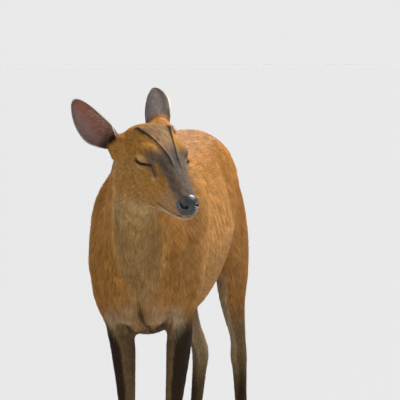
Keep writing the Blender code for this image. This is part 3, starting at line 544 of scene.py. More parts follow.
# Ridges of the forehead, which end in low haired knobs
ridge = {
    "start": 0.045,
    "long": 0.075,
    "apart": 0.0060,
    "spread": 0.0190,
    "half": 0.0032,
    "high": 0.0016,
    "knobAt": (0.0255, -0.030),
    "knobHalf": (0.0055, 0.0085),
    "knobHigh": 0.0030,
}


def ridgeLine(y):
    # Half the distance between the two dark ridges at a place along the head
    t = np.clip((ridge["start"] - y) / ridge["long"], 0, 1)
    return ridge["apart"] + ridge["spread"] * t**1.15


def ridgeHeight(local):
    x, y, z = np.abs(local[:, 0]), local[:, 1], local[:, 2]
    near = hump(x - ridgeLine(y), ridge["half"])
    ends = np.clip((0.062 - y) / 0.02, 0, 1) * np.clip((y + 0.042) / 0.010, 0, 1)
    above = np.clip((z + 0.012) / 0.01, 0, 1)
    knob = blob(np.column_stack([x, y]), ridge["knobAt"], ridge["knobHalf"])
    return (ridge["high"] * near * ends + ridge["knobHigh"] * knob) * above


def blendedFlesh():
    pieces = [trunkForm(), neckForm(), headForm(), *lumpForms()]
    pieces.append(ball("brisket", Vector(brisket["at"]), brisket["size"]))
    pieces.append(sweep("tailRoot", tailRows[:4], (1.0, 0.0, 0.0)))
    core = [(x, y, z, across * tailCore[0], deep * tailCore[1]) for x, y, z, across, deep in tailRows]
    pieces.append(sweep("tailCore", core, (1.0, 0.0, 0.0)))
    pieces.append(ball("tailBase", Vector(tailBase["at"]), tailBase["size"]))
    for side in sides.values():
        pieces += [limbForm(name, rows, side, drift) for name, (rows, drift) in legs.items()]
        for rows, drift in legs.values():
            pieces += footLumps(rows, side, drift)
    flesh = joined("skin", pieces)
    blend = flesh.modifiers.new("blend", "REMESH")
    blend.mode = "VOXEL"
    blend.voxel_size = blending["grain"]
    evaluated(flesh)
    relax(flesh.data, blending["pull"] * softness(pointsOf(flesh.data))[:, None], blending["rounds"])
    return flesh


def eyeFrame(side):
    # The centre of an eye, the way it looks, the way its slit runs and the way up over its lids
    turned = headFrame().to_3x3()
    gaze = eye["gaze"]
    look = (turned @ Vector((side * gaze.x, gaze.y, gaze.z))).normalized()
    along = turned @ Vector((-side * gaze.y, gaze.x, 0.0)).normalized()
    up = along.cross(look).normalized() * side
    along = (along * math.cos(eye["slitTilt"]) + up * math.sin(eye["slitTilt"])).normalized()
    up = look.cross(along).normalized()
    if up.dot(turned @ Vector((0, 0, 1))) < 0:
        up = -up
    centre = eyeCentre(side) - along * eye["slitAway"]
    return [np.array(v) for v in (centre, look, along, up)]


def slitHeight(lens):
    return eye["slitOpen"] / 2 * lens**0.65


def lidPlace(points, side):
    # Along the slit, above its middle line, in front of the eye's centre, and half the slit's height there
    centre, look, along, up = eyeFrame(side)
    away = points - centre
    a = away @ along
    lens = np.clip(1 - (a / eye["slitHalf"]) ** 2, 0, 1)
    return a, away @ up + eye["slitSag"] * lens, away @ look, slitHeight(lens)


def finerZones(mesh, level):
    # Which points of the head get smaller faces
    points = pointsOf(mesh)
    local = toHead(points)
    if level == 0:
        return fromFace(local) < finer["head"]
    if level == 1:
        return (local[:, 1] > -0.006) & (fromFace(local, finer["faceMiddle"]) < finer["face"])
    chosen = (local[:, 1] > 0.094) & (local[:, 2] > -0.062) & (np.abs(local[:, 0]) < 0.03)
    for side in sides.values():
        a, b, ahead, _ = lidPlace(points, side)
        near = (np.abs(a) < finer["slit"][0]) & (np.abs(b) < finer["slit"][1])
        chosen |= near & (ahead > 0.003) & (ahead < 0.03)
    return chosen


def refine(thing):
    for level in range(3):
        chosen = finerZones(thing.data, level)
        edit = editing(thing.data)
        edit.verts.ensure_lookup_table()
        edges = [e for e in edit.edges if chosen[e.verts[0].index] and chosen[e.verts[1].index]]
        bmesh.ops.subdivide_edges(edit, edges=edges, cuts=1, use_grid_fill=True)
        written(edit, thing.data)
        relax(thing.data, 0.5 * finerZones(thing.data, level)[:, None], 6)
    return thing


# Lie of the coat: place, way it lies, its length and how far it stands off the skin; x is mirrored
comb = [
    ((0.0, -0.10, 0.57), (0, 1, -0.05), 0.014, 0.0028),
    ((0.0, 0.05, 0.58), (0, 1, -0.05), 0.014, 0.0028),
    ((0.0, 0.20, 0.59), (0, 1, -0.25), 0.014, 0.0028),
    ((0.03, 0.30, 0.55), (0, 0.7, -1.0), 0.015, 0.0032),
    ((0.03, 0.33, 0.48), (0, 0.1, -1.0), 0.016, 0.0034),
    ((0.07, -0.08, 0.53), (0, 1, -0.35), 0.013, 0.0026),
    ((0.09, -0.08, 0.42), (0, 0.9, -0.55), 0.013, 0.0026),
    ((0.06, -0.06, 0.31), (0, 1, -0.15), 0.015, 0.0030),
    ((0.09, 0.06, 0.52), (0, 1, -0.35), 0.013, 0.0026),
    ((0.10, 0.06, 0.43), (0, 0.9, -0.50), 0.013, 0.0026),
    ((0.07, 0.08, 0.33), (0, 1, -0.15), 0.015, 0.0030),
    ((0.0, 0.0, 0.29), (0, 1, 0.0), 0.016, 0.0034),
    ((0.08, 0.18, 0.50), (0, 0.7, -0.8), 0.013, 0.0026),
    ((0.07, 0.22, 0.42), (0, 0.35, -1.0), 0.013, 0.0026),
    ((0.06, 0.19, 0.35), (0, 0.15, -1.0), 0.013, 0.0024),
    ((0.02, 0.22, 0.37), (0, 0.3, -1.0), 0.014, 0.0026),
    ((0.05, 0.22, 0.28), (0, 0.35, -1.0), 0.010, 0.0017),
    ((0.05, 0.265, 0.22), (0, 0.0, -1.0), 0.009, 0.0014),
    ((0.055, 0.255, 0.13), (0, -0.05, -1.0), 0.007, 0.0010),
    ((0.060, 0.245, 0.05), (0, -0.1, -1.0), 0.006, 0.0010),
    ((0.060, 0.225, 0.02), (0, -0.3, -1.0), 0.011, 0.0012),
    ((0.06, -0.14, 0.50), (0, 0.8, -0.6), 0.013, 0.0026),
    ((0.08, -0.18, 0.44), (0.0, 0.45, -1.0), 0.013, 0.0026),
    ((0.07, -0.18, 0.35), (0, 0.15, -1.0), 0.013, 0.0024),
    ((0.05, -0.165, 0.27), (0, 0.0, -1.0), 0.010, 0.0017),
    ((0.036, -0.167, 0.17), (0, 0.0, -1.0), 0.007, 0.0011),
    ((0.036, -0.163, 0.10), (0, 0.0, -1.0), 0.007, 0.0010),
    ((0.036, -0.185, 0.02), (0, -0.3, -1.0), 0.011, 0.0012),
    ((0.045, -0.245, 0.44), (0.35, 0.05, -1.0), 0.015, 0.0032),
    ((0.0, -0.275, 0.42), (0, 0.10, -1.0), 0.017, 0.0036),
    ((0.0, -0.265, 0.35), (0, 0.35, -1.0), 0.018, 0.0040),
    ((0.025, -0.22, 0.31), (0.1, 0.5, -1.0), 0.018, 0.0040),
    ((0.05, -0.20, 0.50), (0.1, 0.7, -0.8), 0.014, 0.0030),
    ((0.0, -0.30, 0.46), (0, 0.05, -1.0), 0.017, 0.0036),
    ((0.05, -0.27, 0.50), (0.1, 0.45, -1.0), 0.014, 0.0030),
    ((0.0, -0.20, 0.57), (0, 1, -0.45), 0.014, 0.0030),
    ((0.01, -0.27, 0.58), (0, 1, -0.45), 0.013, 0.0028),
]
headComb = [
    ((0.0, 0.095, -0.024), (0, -1, 0.25), 0.0028, 0.0005),
    ((0.0, 0.065, -0.002), (0, -1, 0.45), 0.0036, 0.0007),
    ((0.0, 0.035, 0.018), (0, -1, 0.5), 0.0045, 0.0009),
    ((0.010, 0.0, 0.034), (0.1, -1, 0.3), 0.0065, 0.0013),
    ((0.022, -0.028, 0.040), (0.15, -1, 0.0), 0.0058, 0.0010),
    ((0.0, -0.045, 0.040), (0, -1, -0.1), 0.008, 0.0016),
    ((0.0, -0.085, 0.015), (0, -1, -0.5), 0.011, 0.0024),
    ((0.018, 0.085, -0.038), (0.2, -1, -0.15), 0.0030, 0.0005),
    ((0.022, 0.060, -0.040), (0.1, -1, -0.35), 0.0040, 0.0008),
    ((0.030, 0.035, -0.030), (0.1, -1, -0.45), 0.0050, 0.0010),
    ((0.036, 0.005, 0.012), (0.1, -1, 0.35), 0.0045, 0.0009),
    ((0.038, -0.030, 0.005), (0, -1, 0.1), 0.0070, 0.0014),
    ((0.038, -0.010, -0.035), (0, -1, -0.55), 0.0070, 0.0015),
    ((0.033, -0.045, -0.045), (0, -0.8, -0.8), 0.0090, 0.0020),
    ((0.020, 0.040, -0.066), (0, -1, -0.25), 0.0050, 0.0010),
    ((0.012, 0.0, -0.078), (0, -1, -0.45), 0.0090, 0.0020),
    ((0.0, 0.090, -0.068), (0, -1, -0.1), 0.0045, 0.0009),
    ((0.015, -0.055, -0.075), (0, -0.5, -1.0), 0.0130, 0.0030),
    ((0.030, -0.060, 0.022), (0.1, -1, 0.1), 0.0060, 0.0010),
]
tailComb = [
    ((0.003, 0.335, 0.535), (0, 0.25, -1.0), 0.022, 0.0050),
    ((0.003, 0.351, 0.46), (0, 0.02, -1.0), 0.028, 0.0060),
    ((0.003, 0.352, 0.40), (0, 0.0, -1.0), 0.030, 0.0050),
]
earComb = {"up": 0.012, "size": (0.008, 0.0012)}


def combGuides():
    turned = headFrame().to_3x3()
    guides = []
    for place, way, *size in comb:
        drift = limbs["hindShift"] if place[1] > 0.15 and place[2] < 0.30 else 0.0
        for side in signs(place[0]):
            guides.append(((side * place[0] + drift, *place[1:]), (side * way[0], *way[1:]), size))
    for place, way, *size in headComb:
        for side in signs(place[0]):
            lie = turned @ Vector((side * way[0], *way[1:]))
            guides.append((tuple(inHead(side * place[0], *place[1:])), tuple(lie), size))
    for sideName in sides:
        root, tip = (Vector(v) for v in ear[sideName][:2])
        place = inHead(*(root + tip.normalized() * earComb["up"]))
        guides.append((tuple(place), tuple(turned @ tip), earComb["size"]))
    guides += [(place, way, size) for place, way, *size in tailComb]
    places, ways, sizes = (np.array(column, float) for column in zip(*guides))
    return places, ways / np.linalg.norm(ways, axis=1)[:, None], sizes


def combed(points):
    # The way, the length and the stand of the coat at each point, blended from the nearest guides
    places, ways, sizes = combGuides()
    way, size = np.zeros((len(points), 3)), np.zeros((len(points), 2))
    atOnce = 20000
    for start in range(0, len(points), atOnce):
        part = slice(start, start + atOnce)
        away = ((points[part, None] - places[None]) ** 2).sum(2)
        weight = 1 / (away + 0.00004) ** 2
        weight /= weight.sum(1)[:, None]
        way[part], size[part] = weight @ ways, weight @ sizes
    way /= np.linalg.norm(way, axis=1)[:, None] + 1e-9
    return way, size[:, 0], size[:, 1]


# Colours of the coat, linear
coatColours = {
    "rufous": (0.385, 0.172, 0.038),
    "flank": (0.430, 0.218, 0.070),
    # back: the paler, greyer coat of the sunlit back, a painted highlight
    "back": (0.360, 0.200, 0.115),
    # thigh: the darker coat of the hindquarters in shade, painted shade
    "thigh": (0.255, 0.100, 0.022),
    "bib": (0.350, 0.205, 0.078),
    "bibEdge": (0.560, 0.290, 0.085),
    "throat": (0.430, 0.275, 0.115),
    "chin": (0.480, 0.380, 0.255),
    "belly": (0.420, 0.300, 0.170),
    "face": (0.375, 0.180, 0.038),
    "bright": (0.430, 0.190, 0.048),
    "forehead": (0.285, 0.178, 0.096),
    "bridge": (0.080, 0.074, 0.072),
    "muzzle": (0.370, 0.225, 0.150),
    "line": (0.012, 0.009, 0.008),
    "lid": (0.680, 0.420, 0.190),
    "leg": (0.160, 0.098, 0.045),
    "shin": (0.026, 0.015, 0.008),
    "pale": (0.520, 0.400, 0.260),
    "white": (0.700, 0.650, 0.570),
}
skinShade = 0.88
# Bib: heights, with its middle line and its half width there
bib = {
    "middle": ((0.34, 0.37, 0.46, 0.53), (0.004, 0.008, 0.010, 0.0135)),
    "half": ((0.31, 0.335, 0.365, 0.40, 0.46, 0.53), (0.014, 0.0145, 0.0205, 0.031, 0.0375, 0.0255)),
}


def limbReach(points, rows, drift):
    # Distance from a limb's middle line, over the limb's own half depth there, whichever side is nearer
    keys = np.array(rows)[::-1]
    x, y, deep = (np.interp(points[:, 2], keys[:, 2], keys[:, i]) for i in (0, 1, 4))
    aside = np.abs(points[:, 0] - driftAt(points[:, 2], rows, drift)) - x
    return np.hypot(aside, points[:, 1] - y) / deep


def painter(colour, palette):
    # Lays a named colour over the colour at each point, by a weight from 0 to 1
    def paint(name, weight):
        weight = np.clip(weight, 0, 1)[:, None]
        colour[:] = colour * (1 - weight) + np.array(palette[name]) * weight

    return paint


def markings(points, normals):
    # The coat's colour at each point, the same for the skin and the tufts
    colour = np.tile(np.array(coatColours["rufous"]), (len(points), 1))
    paint = painter(colour, coatColours)
    x, y, z = points.T
    local = toHead(points)
    u, v, w = local.T
    wide, paired = np.abs(u), bothSides(local)
    onHead = fall(behindHead(local), -0.012, 0.012) * fall(fromFace(local), 0.140, 0.160)
    spot = ripple(points, 0.05, 3)
    # Trunk
    paint("flank", rise(np.abs(x + 0.010), 0.050, 0.090) * rise(z, 0.30, 0.42) * (0.75 + 0.2 * spot))
    # Paler, greyer coat where the back faces up: a painted sun highlight
    paint("back", rise(normals[:, 2], 0.45, 1.0) * rise(z, 0.50, 0.56) * 0.6)
    # Darker coat over the hindquarters: painted shade
    paint("thigh", rise(y, 0.12, 0.20) * fall(z, 0.48, 0.56) * 0.7)
    paint("belly", fall(normals[:, 2], -0.98, -0.60) * fall(z, 0.33, 0.40) * rise(y, -0.17, -0.05) * 0.8)
    groin = blob(points, (0.005, 0.235, 0.36), (0.035, 0.07, 0.06))
    paint("white", groin * rise(np.abs(normals[:, 0]), 0.2, 0.7) * 0.8)
    # Bib down the front of the neck and chest, with its pale edges
    middle = np.interp(z, *bib["middle"])
    half = np.interp(z, *bib["half"])
    front = fall(normals[:, 1], -0.45, -0.05) * (1 - onHead) * fall(y, -0.235, -0.205)
    inside = rise(half - np.abs(x - middle) + 0.004 * spot, -0.006, 0.008)
    paint("bib", inside * front * (0.9 - 0.35 * fall(z, 0.33, 0.38)))
    edge = hump(np.abs(x - middle) - half, 0.0042)
    paint("bibEdge", edge * front * rise(z, 0.37, 0.41) * 0.85)
    paint("throat", front * inside * rise(z, 0.445, 0.50) * 0.75)
    # Face
    paint("face", onHead)
    crown = onHead * fall(v, -0.050, -0.020) * rise(w, -0.02, 0.02)
    paint("bright", crown * (0.35 + 0.55 * rise(wide, 0.010, 0.028)))
    paint("bright", onHead * blob(paired, (0.030, 0.0, 0.020), (0.010, 0.022, 0.010)) * 0.4)
    streak = ripple(local * (1.0, 0.30, 1.0), 0.0045, 5)
    mottle = ripple(local * (1.0, 0.60, 1.0), 0.008, 6)
    colour *= 1 + (onHead * (0.14 * streak + 0.09 * mottle))[:, None]
    between = rise(ridgeLine(v) - wide, -0.002, 0.003) * rise(w, -0.01, 0.0) * rise(v, -0.045, -0.030)
    fine = ripple(local * (1.0, 0.12, 0.5), 0.0036, 22)
    paint("forehead", onHead * between * (0.85 + 0.15 * streak))
    paint("line", onHead * between * rise(fine, -0.2, 1.3) * 0.60)
    slope = w - 0.0020 + (v - 0.04) * 0.53 + 0.0070 * rise(v, 0.045, 0.090)
    dark = rise(slope, -0.0085, 0.0035) * rise(v, 0.014, 0.040)
    paint("bridge", onHead * dark * (0.86 + 0.14 * fine))
    paint("bridge", onHead * blob(paired, (0.0270, 0.0280, 0.0085), (0.007, 0.010, 0.0065)) * 0.70)
    paint("muzzle", onHead * blob(paired, (0.018, 0.080, -0.044), (0.015, 0.026, 0.015)) * 0.65)
    paint("lid", onHead * blob(paired, (0.0290, 0.0410, -0.0190), (0.005, 0.0045, 0.0035)) * 0.8)
    paint("throat", onHead * fall(w, -0.072, -0.062) * rise(v, -0.085, -0.060) * 0.85)
    paint("chin", onHead * fall(w, -0.0600, -0.0575) * rise(v, 0.035, 0.055))
    away, _ = toPath(paired, mouthPath)
    paint("line", onHead * hump(away, 0.0019))
    lineWide = 0.0014 + 0.0022 * fall(v, -0.035, 0.02)
    stripe = hump(wide - ridgeLine(v), lineWide, 4) * rise(w, -0.016, -0.006)
    paint("line", onHead * stripe * rise(v, -0.040, -0.034) * fall(v, 0.050, 0.066))
    # Painted shade on the floor of each ear's cup, so that it looks hollow
    for sideName in sides:
        root, tip = (np.array(v) for v in ear[sideName][:2])
        tip = tip / np.linalg.norm(tip)
        along = (local - root) @ tip
        aside = np.linalg.norm(local - root - along[:, None] * tip, axis=1)
        paint("line", rise(along, 0.0070, 0.0105) * fall(aside, 0.0115, 0.0135) * 0.85)
    # Round the eyes
    for side in sides.values():
        a, b, ahead, open = lidPlace(points, side)
        near = rise(ahead, 0.0, 0.006) * onHead
        flat = np.column_stack([a, b])
        paint("lid", near * blob(flat, (-0.003, 0.0072), (0.0105, 0.0036)))
        paint("lid", near * blob(flat, (-0.002, -0.0062), (0.011, 0.0020)) * 0.45)
        thick = 0.0006 + (0.0007 + 0.0014 * fall(a, -0.012, 0.002)) * (b > 0)
        level = thick - (np.abs(b) - open)
        rim = rise(level, -0.0006, 0.0006) * rise(eye["slitHalf"] + 0.0050 - np.abs(a), 0, 0.003)
        paint("line", near * rim)
    # From the inner corner of each eye down the gland before it: the gland's own dark skin, with painted
    # shade along its crease
    glandCrease, along = toPath(paired, [(0.0300, 0.0290, -0.0015), *glandPath])
    paint("bridge", onHead * hump(glandCrease, 0.0062 - 0.0020 * along) * 0.85)
    paint("line", onHead * hump(glandCrease, 0.0030 - 0.0014 * along, 4) * 0.6)
    # Legs
    outer = np.where(y < 0.02, np.sign(x), np.sign(x - limbs["hindShift"]))
    outward = normals[:, 0] * outer
    onFore = fall(y, -0.08, -0.06) * fall(limbReach(points, foreRows, 0.0), 1.20, 1.45)
    shade = rise(outward * 0.95 - normals[:, 1] * 0.45, 0.05, 0.45)
    paint("leg", onFore * fall(z, 0.295, 0.335))
    paint("shin", onFore * fall(z, 0.300, 0.350) * shade * 0.95)
    paint("shin", onFore * fall(z, 0.13, 0.20) * 0.80)
    onHind = rise(y, 0.12, 0.14)
    paint("leg", onHind * fall(z, 0.260, 0.335))
    paint("leg", onHind * fall(z, 0.33, 0.40) * fall(outward, -0.6, -0.1) * 0.8)
    paint("shin", onHind * fall(z, 0.17, 0.25) * (0.50 + 0.4 * shade))
    inFront = rise(-outward * 0.8 - normals[:, 1] * 0.5, 0.10, 0.55)
    paint("belly", onHind * (inFront * fall(z, 0.355, 0.405) * rise(z, 0.16, 0.26)) * 0.62)
    paint("shin", fall(z, 0.045, 0.065) * 0.9)
    pits = np.column_stack([np.abs(x - 0.005), y, z])
    paint("belly", blob(pits, (0.023, -0.250, 0.330), (0.016, 0.045, 0.026)) * 0.65)
    # Painted shade down the cleft between the two lobes of the brisket
    cleft = hump(x - 0.005, 0.0055) * fall(z, 0.335, 0.365) * fall(y, -0.22, -0.19)
    paint("shin", cleft * 0.85)
    paint("pale", blob(pits, (0.047, -0.228, 0.322), (0.015, 0.024, 0.019)) * 0.70)
    # Tail: rufous above, white below and along its edges
    tail = rise(y, 0.325, 0.336) * fall(z, 0.53, 0.56)
    paint("rufous", tail)
    paint("white", tail * fall(normals[:, 1], -0.45, -0.05))
    paint("white", tail * fall(z, 0.39, 0.42) * 0.8)
    return np.clip(colour, 0, 1)


def setColour(mesh, colours):
    # One colour for the whole mesh, or one for each point
    values = np.ones((len(mesh.vertices), 4), np.float32)
    values[:, :3] = colours
    mesh.attributes.new("tint", "FLOAT_COLOR", "POINT").data.foreach_set("color", values.ravel())


# Muscles and folds of the body: path, half width and height, on both sides of the middle
bodyFolds = [
    ([(0.045, -0.100, 0.555), (0.078, -0.170, 0.470), (0.078, -0.215, 0.400)], 0.016, 0.0025),
    ([(0.085, -0.115, 0.500), (0.090, -0.125, 0.400), (0.075, -0.125, 0.345)], 0.010, -0.0030),
    ([(0.070, -0.140, 0.325), (0.066, -0.135, 0.345)], 0.011, 0.0030),
    ([(0.050, 0.160, 0.570), (0.062, 0.175, 0.555)], 0.016, 0.0040),
    ([(0.085, 0.125, 0.520), (0.085, 0.130, 0.470)], 0.024, -0.0050),
    ([(0.082, 0.125, 0.420), (0.066, 0.130, 0.365)], 0.010, -0.0035),
    ([(0.052, 0.285, 0.500), (0.055, 0.270, 0.430), (0.045, 0.240, 0.350)], 0.007, -0.0028),
    ([(0.055, 0.215, 0.320), (0.050, 0.238, 0.270), (0.046, 0.250, 0.245)], 0.005, -0.0020),
    ([(0.020, -0.277, 0.430), (0.026, -0.265, 0.370), (0.027, -0.245, 0.325)], 0.013, 0.0050),
    ([(0, -0.283, 0.375), (0, -0.273, 0.345), (0, -0.250, 0.312), (0, -0.180, 0.295)], 0.008, -0.0070),
    ([(0.054, -0.238, 0.380), (0.050, -0.228, 0.335), (0.028, -0.205, 0.300)], 0.007, -0.0040),
]
ribs = {"count": 7, "from": -0.075, "apart": 0.026, "lean": 0.35, "high": 0.0004}
# Furrows of the face: path, then height, distance and half width of the rims, then depth and half width
furrows = [
    (mouthPath, 0.0008, 0.0034, 0.0018, 0.0034, 0.0012),
    (glandPath, 0.0007, 0.0028, 0.0016, 0.0026, 0.0013),
]
# Folds of the lids: height over the slit, depth and half width; upper ones first
lidFolds = [
    (0.0085, 0.0009, 0.0010),
    (0.0118, 0.0004, 0.0012),
    (-0.0052, 0.0006, 0.0008),
    (-0.0085, 0.0004, 0.0009),
]


def sculpt(skin):
    # Muscles, ribs, brow ridges, the mouth's line, the gland before each eye and the folds of the lids
    mesh = skin.data
    points, normals = pointsOf(mesh), normalsOf(mesh)
    local = toHead(points)
    mirrored = bothSides(local)
    near = fall(fromFace(local), 0.135, 0.150)
    x, y, z = points.T
    rows = np.array(trunkRows)
    middle = np.interp(y, rows[:, 0], rows[:, 1]) * rise(z, 0.30, 0.36)
    middle += limbs["hindShift"] * rise(y, 0.12, 0.15) * fall(z, 0.28, 0.36)
    paired = np.column_stack([np.abs(x - middle), y, z])
    out = ridgeHeight(local)
    for path, wide, high in bodyFolds:
        out += high * hump(toPath(paired, path)[0], wide) * (1 - near)
    side = rise(np.abs(normals[:, 0]), 0.5, 0.9) * rise(z, 0.34, 0.40) * fall(z, 0.47, 0.53)
    along = (y - ribs["from"] - ribs["lean"] * (0.45 - z)) / ribs["apart"]
    side *= rise(along, -0.5, 0.3) * rise(ribs["count"] - 0.5 - along, 0, 0.8)
    out += ribs["high"] * side * np.cos(2 * math.pi * along)
    out -= combed(points)[2]
    for path, rimHigh, rimAt, rimHalf, deep, half in furrows:
        away, _ = toPath(mirrored, path)
        out += near * (rimHigh * hump(away - rimAt, rimHalf) - deep * hump(away, half))
    for side in sides.values():
        a, b, ahead, _ = lidPlace(points, side)
        there = rise(ahead, 0.004, 0.009) * near
        bend = (a / eye["slitHalf"]) ** 2
        for height, deep, half in lidFolds:
            fold = b - height * (1 - 0.45 * bend)
            out -= there * deep * hump(fold, half) * rise(1.45 - np.sqrt(bend), 0, 0.5)
    inset = rise(padReach(local), 0.0008, 0.0022)
    points = points + normals * out[:, None]
    back = np.array(headFrame().to_3x3() @ Vector((0, -1, 0)))
    setPoints(mesh, points + back * (nosePad["deep"] * inset)[:, None])


nosePad = {
    "back": 0.0965,
    "low": -0.0555,
    "raise": 0.0007,
    "deep": 0.008,
    "walls": (0.0012, 0.0060),
    "cleft": (0.0009, 0.0008),
    "dark": (0.013, 0.0135, 0.0155),
}
# Nostrils: path in the head's frame for the animal's left, half width along it, and depth
nostril = {
    "path": [
        (0.0072, 0.1120, -0.0425),
        (0.0102, 0.1080, -0.0425),
        (0.0126, 0.1035, -0.0385),
        (0.0130, 0.1005, -0.0340),
    ],
    "wide": (0.0024, 0.0009),
    "deep": 0.0060,
}


def padReach(local):
    # How far inside the edge of the bare nose each point is, in metres; below 0 is haired
    high = local[:, 2]
    back = nosePad["back"] + 0.0065 * rise(high, -0.041, -0.030) + 0.0050 * fall(high, -0.055, -0.044)
    return np.minimum(local[:, 1] - back, high - nosePad["low"])


def grownRim(edit, rim):
    # Adds a wall along a rim of edges, and returns its new edges and points
    grown = bmesh.ops.extrude_edge_only(edit, edges=rim)["geom"]
    edges = [e for e in grown if isinstance(e, bmesh.types.BMEdge)]
    return edges, [v for v in grown if isinstance(v, bmesh.types.BMVert)]


def growNose(skin):
    # The bare wet pad, taken from the skin's own form, with comma nostrils and a groove between them
    edit = editing(skin.data)
    keep = padReach(toHead(np.array([v.co for v in edit.verts]))) > -0.0004
    bmesh.ops.delete(edit, geom=[v for v in edit.verts if not keep[v.index]], context="VERTS")
    rim = [e for e in edit.edges if e.is_boundary]
    back = headFrame().to_3x3() @ Vector((0, -1, 0))
    for depth in nosePad["walls"]:
        rim, fresh = grownRim(edit, rim)
        for vert in fresh:
            vert.co += back * depth
    bmesh.ops.edgeloop_fill(edit, edges=rim)
    bmesh.ops.recalc_face_normals(edit, faces=edit.faces)
    mesh = written(edit, bpy.data.meshes.new("nosePad"))
    points, normals = pointsOf(mesh), normalsOf(mesh)
    local = toHead(points)
    away, share = toPath(bothSides(local), nostril["path"])
    wide = nostril["wide"][0] + (nostril["wide"][1] - nostril["wide"][0]) * rise(share, 0.2, 0.9)
    hole = rise(wide * 1.15 - away, 0, 0.0010)
    inside = rise(padReach(local), -0.0004, 0.0012)
    out = nosePad["raise"] * inside + 0.0007 * hump(away - wide * 1.7, 0.0012) * inside
    cleftDeep, cleftHalf = nosePad["cleft"]
    out -= cleftDeep * (hump(local[:, 0], cleftHalf) * fall(local[:, 2], -0.046, -0.040))
    inward = nostril["deep"] * hole * (1 - 0.5 * share)
    points = points + normals * out[:, None] + np.array(back) * inward[:, None]
    setPoints(mesh, points)
    # Painted shade deep inside each nostril
    tone = (1 - 0.85 * hole)[:, None]
    setColour(mesh, np.array(nosePad["dark"]) * tone * (1 + 0.25 * ripple(points, 0.004, 21))[:, None])
    return linked("nosePad", mesh)


def openEyes(skin):
    # A narrow gap between the lids, with rounded margins that reach in to the eye
    inner = eye["radius"] * eye["ballShare"] - 0.0004
    for side in sides.values():
        edit = editing(skin.data)
        edit.verts.ensure_lookup_table()
        a, b, ahead, open = lidPlace(np.array([v.co for v in edit.verts]), side)
        inside = (np.abs(b) < open) & (np.abs(a) < eye["slitHalf"]) & (ahead > 0.004) & (ahead < 0.03)
        faces = [f for f in edit.faces if sum(inside[v.index] for v in f.verts) * 2 > len(f.verts)]
        bmesh.ops.delete(edit, geom=faces, context="FACES")
        centre, look, along, up = eyeFrame(side)
        rim = [e for e in edit.edges if e.is_boundary and (e.verts[0].co - Vector(centre)).length < 0.03]
        for vert in {v for e in rim for v in e.verts}:
            away = np.array(vert.co) - centre
            reach = float(np.clip(away @ along, -eye["slitHalf"], eye["slitHalf"]))
            lens = max(0.0, 1 - (reach / eye["slitHalf"]) ** 2)
            level = away @ up + eye["slitSag"] * lens
            edge = math.copysign(slitHeight(lens), level)
            vert.co = Vector(np.array(vert.co) + along * (reach - away @ along) + up * (edge - level))
        for depth, spread in eye["margins"]:
            rim, fresh = grownRim(edit, rim)
            for vert in fresh:
                away = np.array(vert.co) - centre
                far = np.linalg.norm(away)
                wanted = far + (inner - far) * depth
                vert.co = Vector(centre + away / far * wanted + up * math.copysign(spread, -(away @ up)))
        bmesh.ops.edgeloop_fill(edit, edges=rim)
        bmesh.ops.recalc_face_normals(edit, faces=edit.faces)
        written(edit, skin.data)


def cutFeet(skin):
    # The skin ends at the hair line over each hoof
    edit = editing(skin.data)
    downward = Vector((0, -hoof["slope"] * 0.5, -1))
    for rows, drift in legs.values():
        for side in sides.values():
            foot = hoofPlace(rows, side, drift)
            geom = [v for v in edit.verts if all(abs(d) < far for d, far in zip(v.co - foot, hoof["reach"]))]
            near = set(geom)
            geom += [e for e in edit.edges if e.verts[0] in near and e.verts[1] in near]
            geom += [f for f in edit.faces if all(v in near for v in f.verts)]
            point = Vector((foot.x, foot.y - hoof["long"], hoof["tall"] - hoof["covered"]))
            found = bmesh.ops.bisect_plane(
                edit, geom=geom, plane_co=point, plane_no=downward, clear_outer=True
            )["geom_cut"]
            bmesh.ops.edgeloop_fill(edit, edges=[e for e in found if isinstance(e, bmesh.types.BMEdge)])
    written(edit, skin.data)


def hoofPlace(rows, side, drift):
    return Vector((rows[-1][0] * side + drift, rows[-4][1] - hoof["ahead"], 0.0))


def shaded(thing):
    thing.data.shade_smooth()
    return thing


def newNode(tree, kind, **sockets):
    node = tree.nodes.new("ShaderNode" + kind)
    setSockets(node, sockets)
    return node


def setSockets(node, sockets):
    for socket, value in sockets.items():
        node.inputs[socket.replace("_", " ")].default_value = value


def newMaterial(name, **sockets):
    made = bpy.data.materials.new(name)
    made.use_nodes = True
    shader = made.node_tree.nodes["Principled BSDF"]
    setSockets(shader, sockets)
    return made, made.node_tree, shader


# Each material takes its colour from the tint attribute of its mesh
def tinted(name, roughness, noiseScale, noiseShare, bumpScale, bumpHeight, **sockets):
    made, tree, shader = newMaterial(name, Roughness=roughness, **sockets)
    link = tree.links.new
    tint, where = newNode(tree, "Attribute"), newNode(tree, "TexCoord")
    tint.attribute_name = "tint"
    noise = newNode(tree, "TexNoise", Scale=noiseScale, Detail=3.0)
    limits = {"From_Min": 0.3, "From_Max": 0.7, "To_Min": 1 - noiseShare, "To_Max": 1 + noiseShare}
    spread, mixed = newNode(tree, "MapRange", **limits), newNode(tree, "VectorMath")
    mixed.operation = "MULTIPLY"
    link(where.outputs["Object"], noise.inputs["Vector"])
    link(noise.outputs["Fac"], spread.inputs["Value"])
    link(tint.outputs["Color"], mixed.inputs[0])
    link(spread.outputs["Result"], mixed.inputs[1])
    link(mixed.outputs["Vector"], shader.inputs["Base Color"])
    if bumpHeight:
        grain = newNode(tree, "TexNoise", Scale=bumpScale, Detail=4.0)
        bump = newNode(tree, "Bump", Strength=0.6, Distance=bumpHeight)
        link(where.outputs["Object"], grain.inputs["Vector"])
        link(grain.outputs["Fac"], bump.inputs["Height"])
        link(bump.outputs["Normal"], shader.inputs["Normal"])
    return made


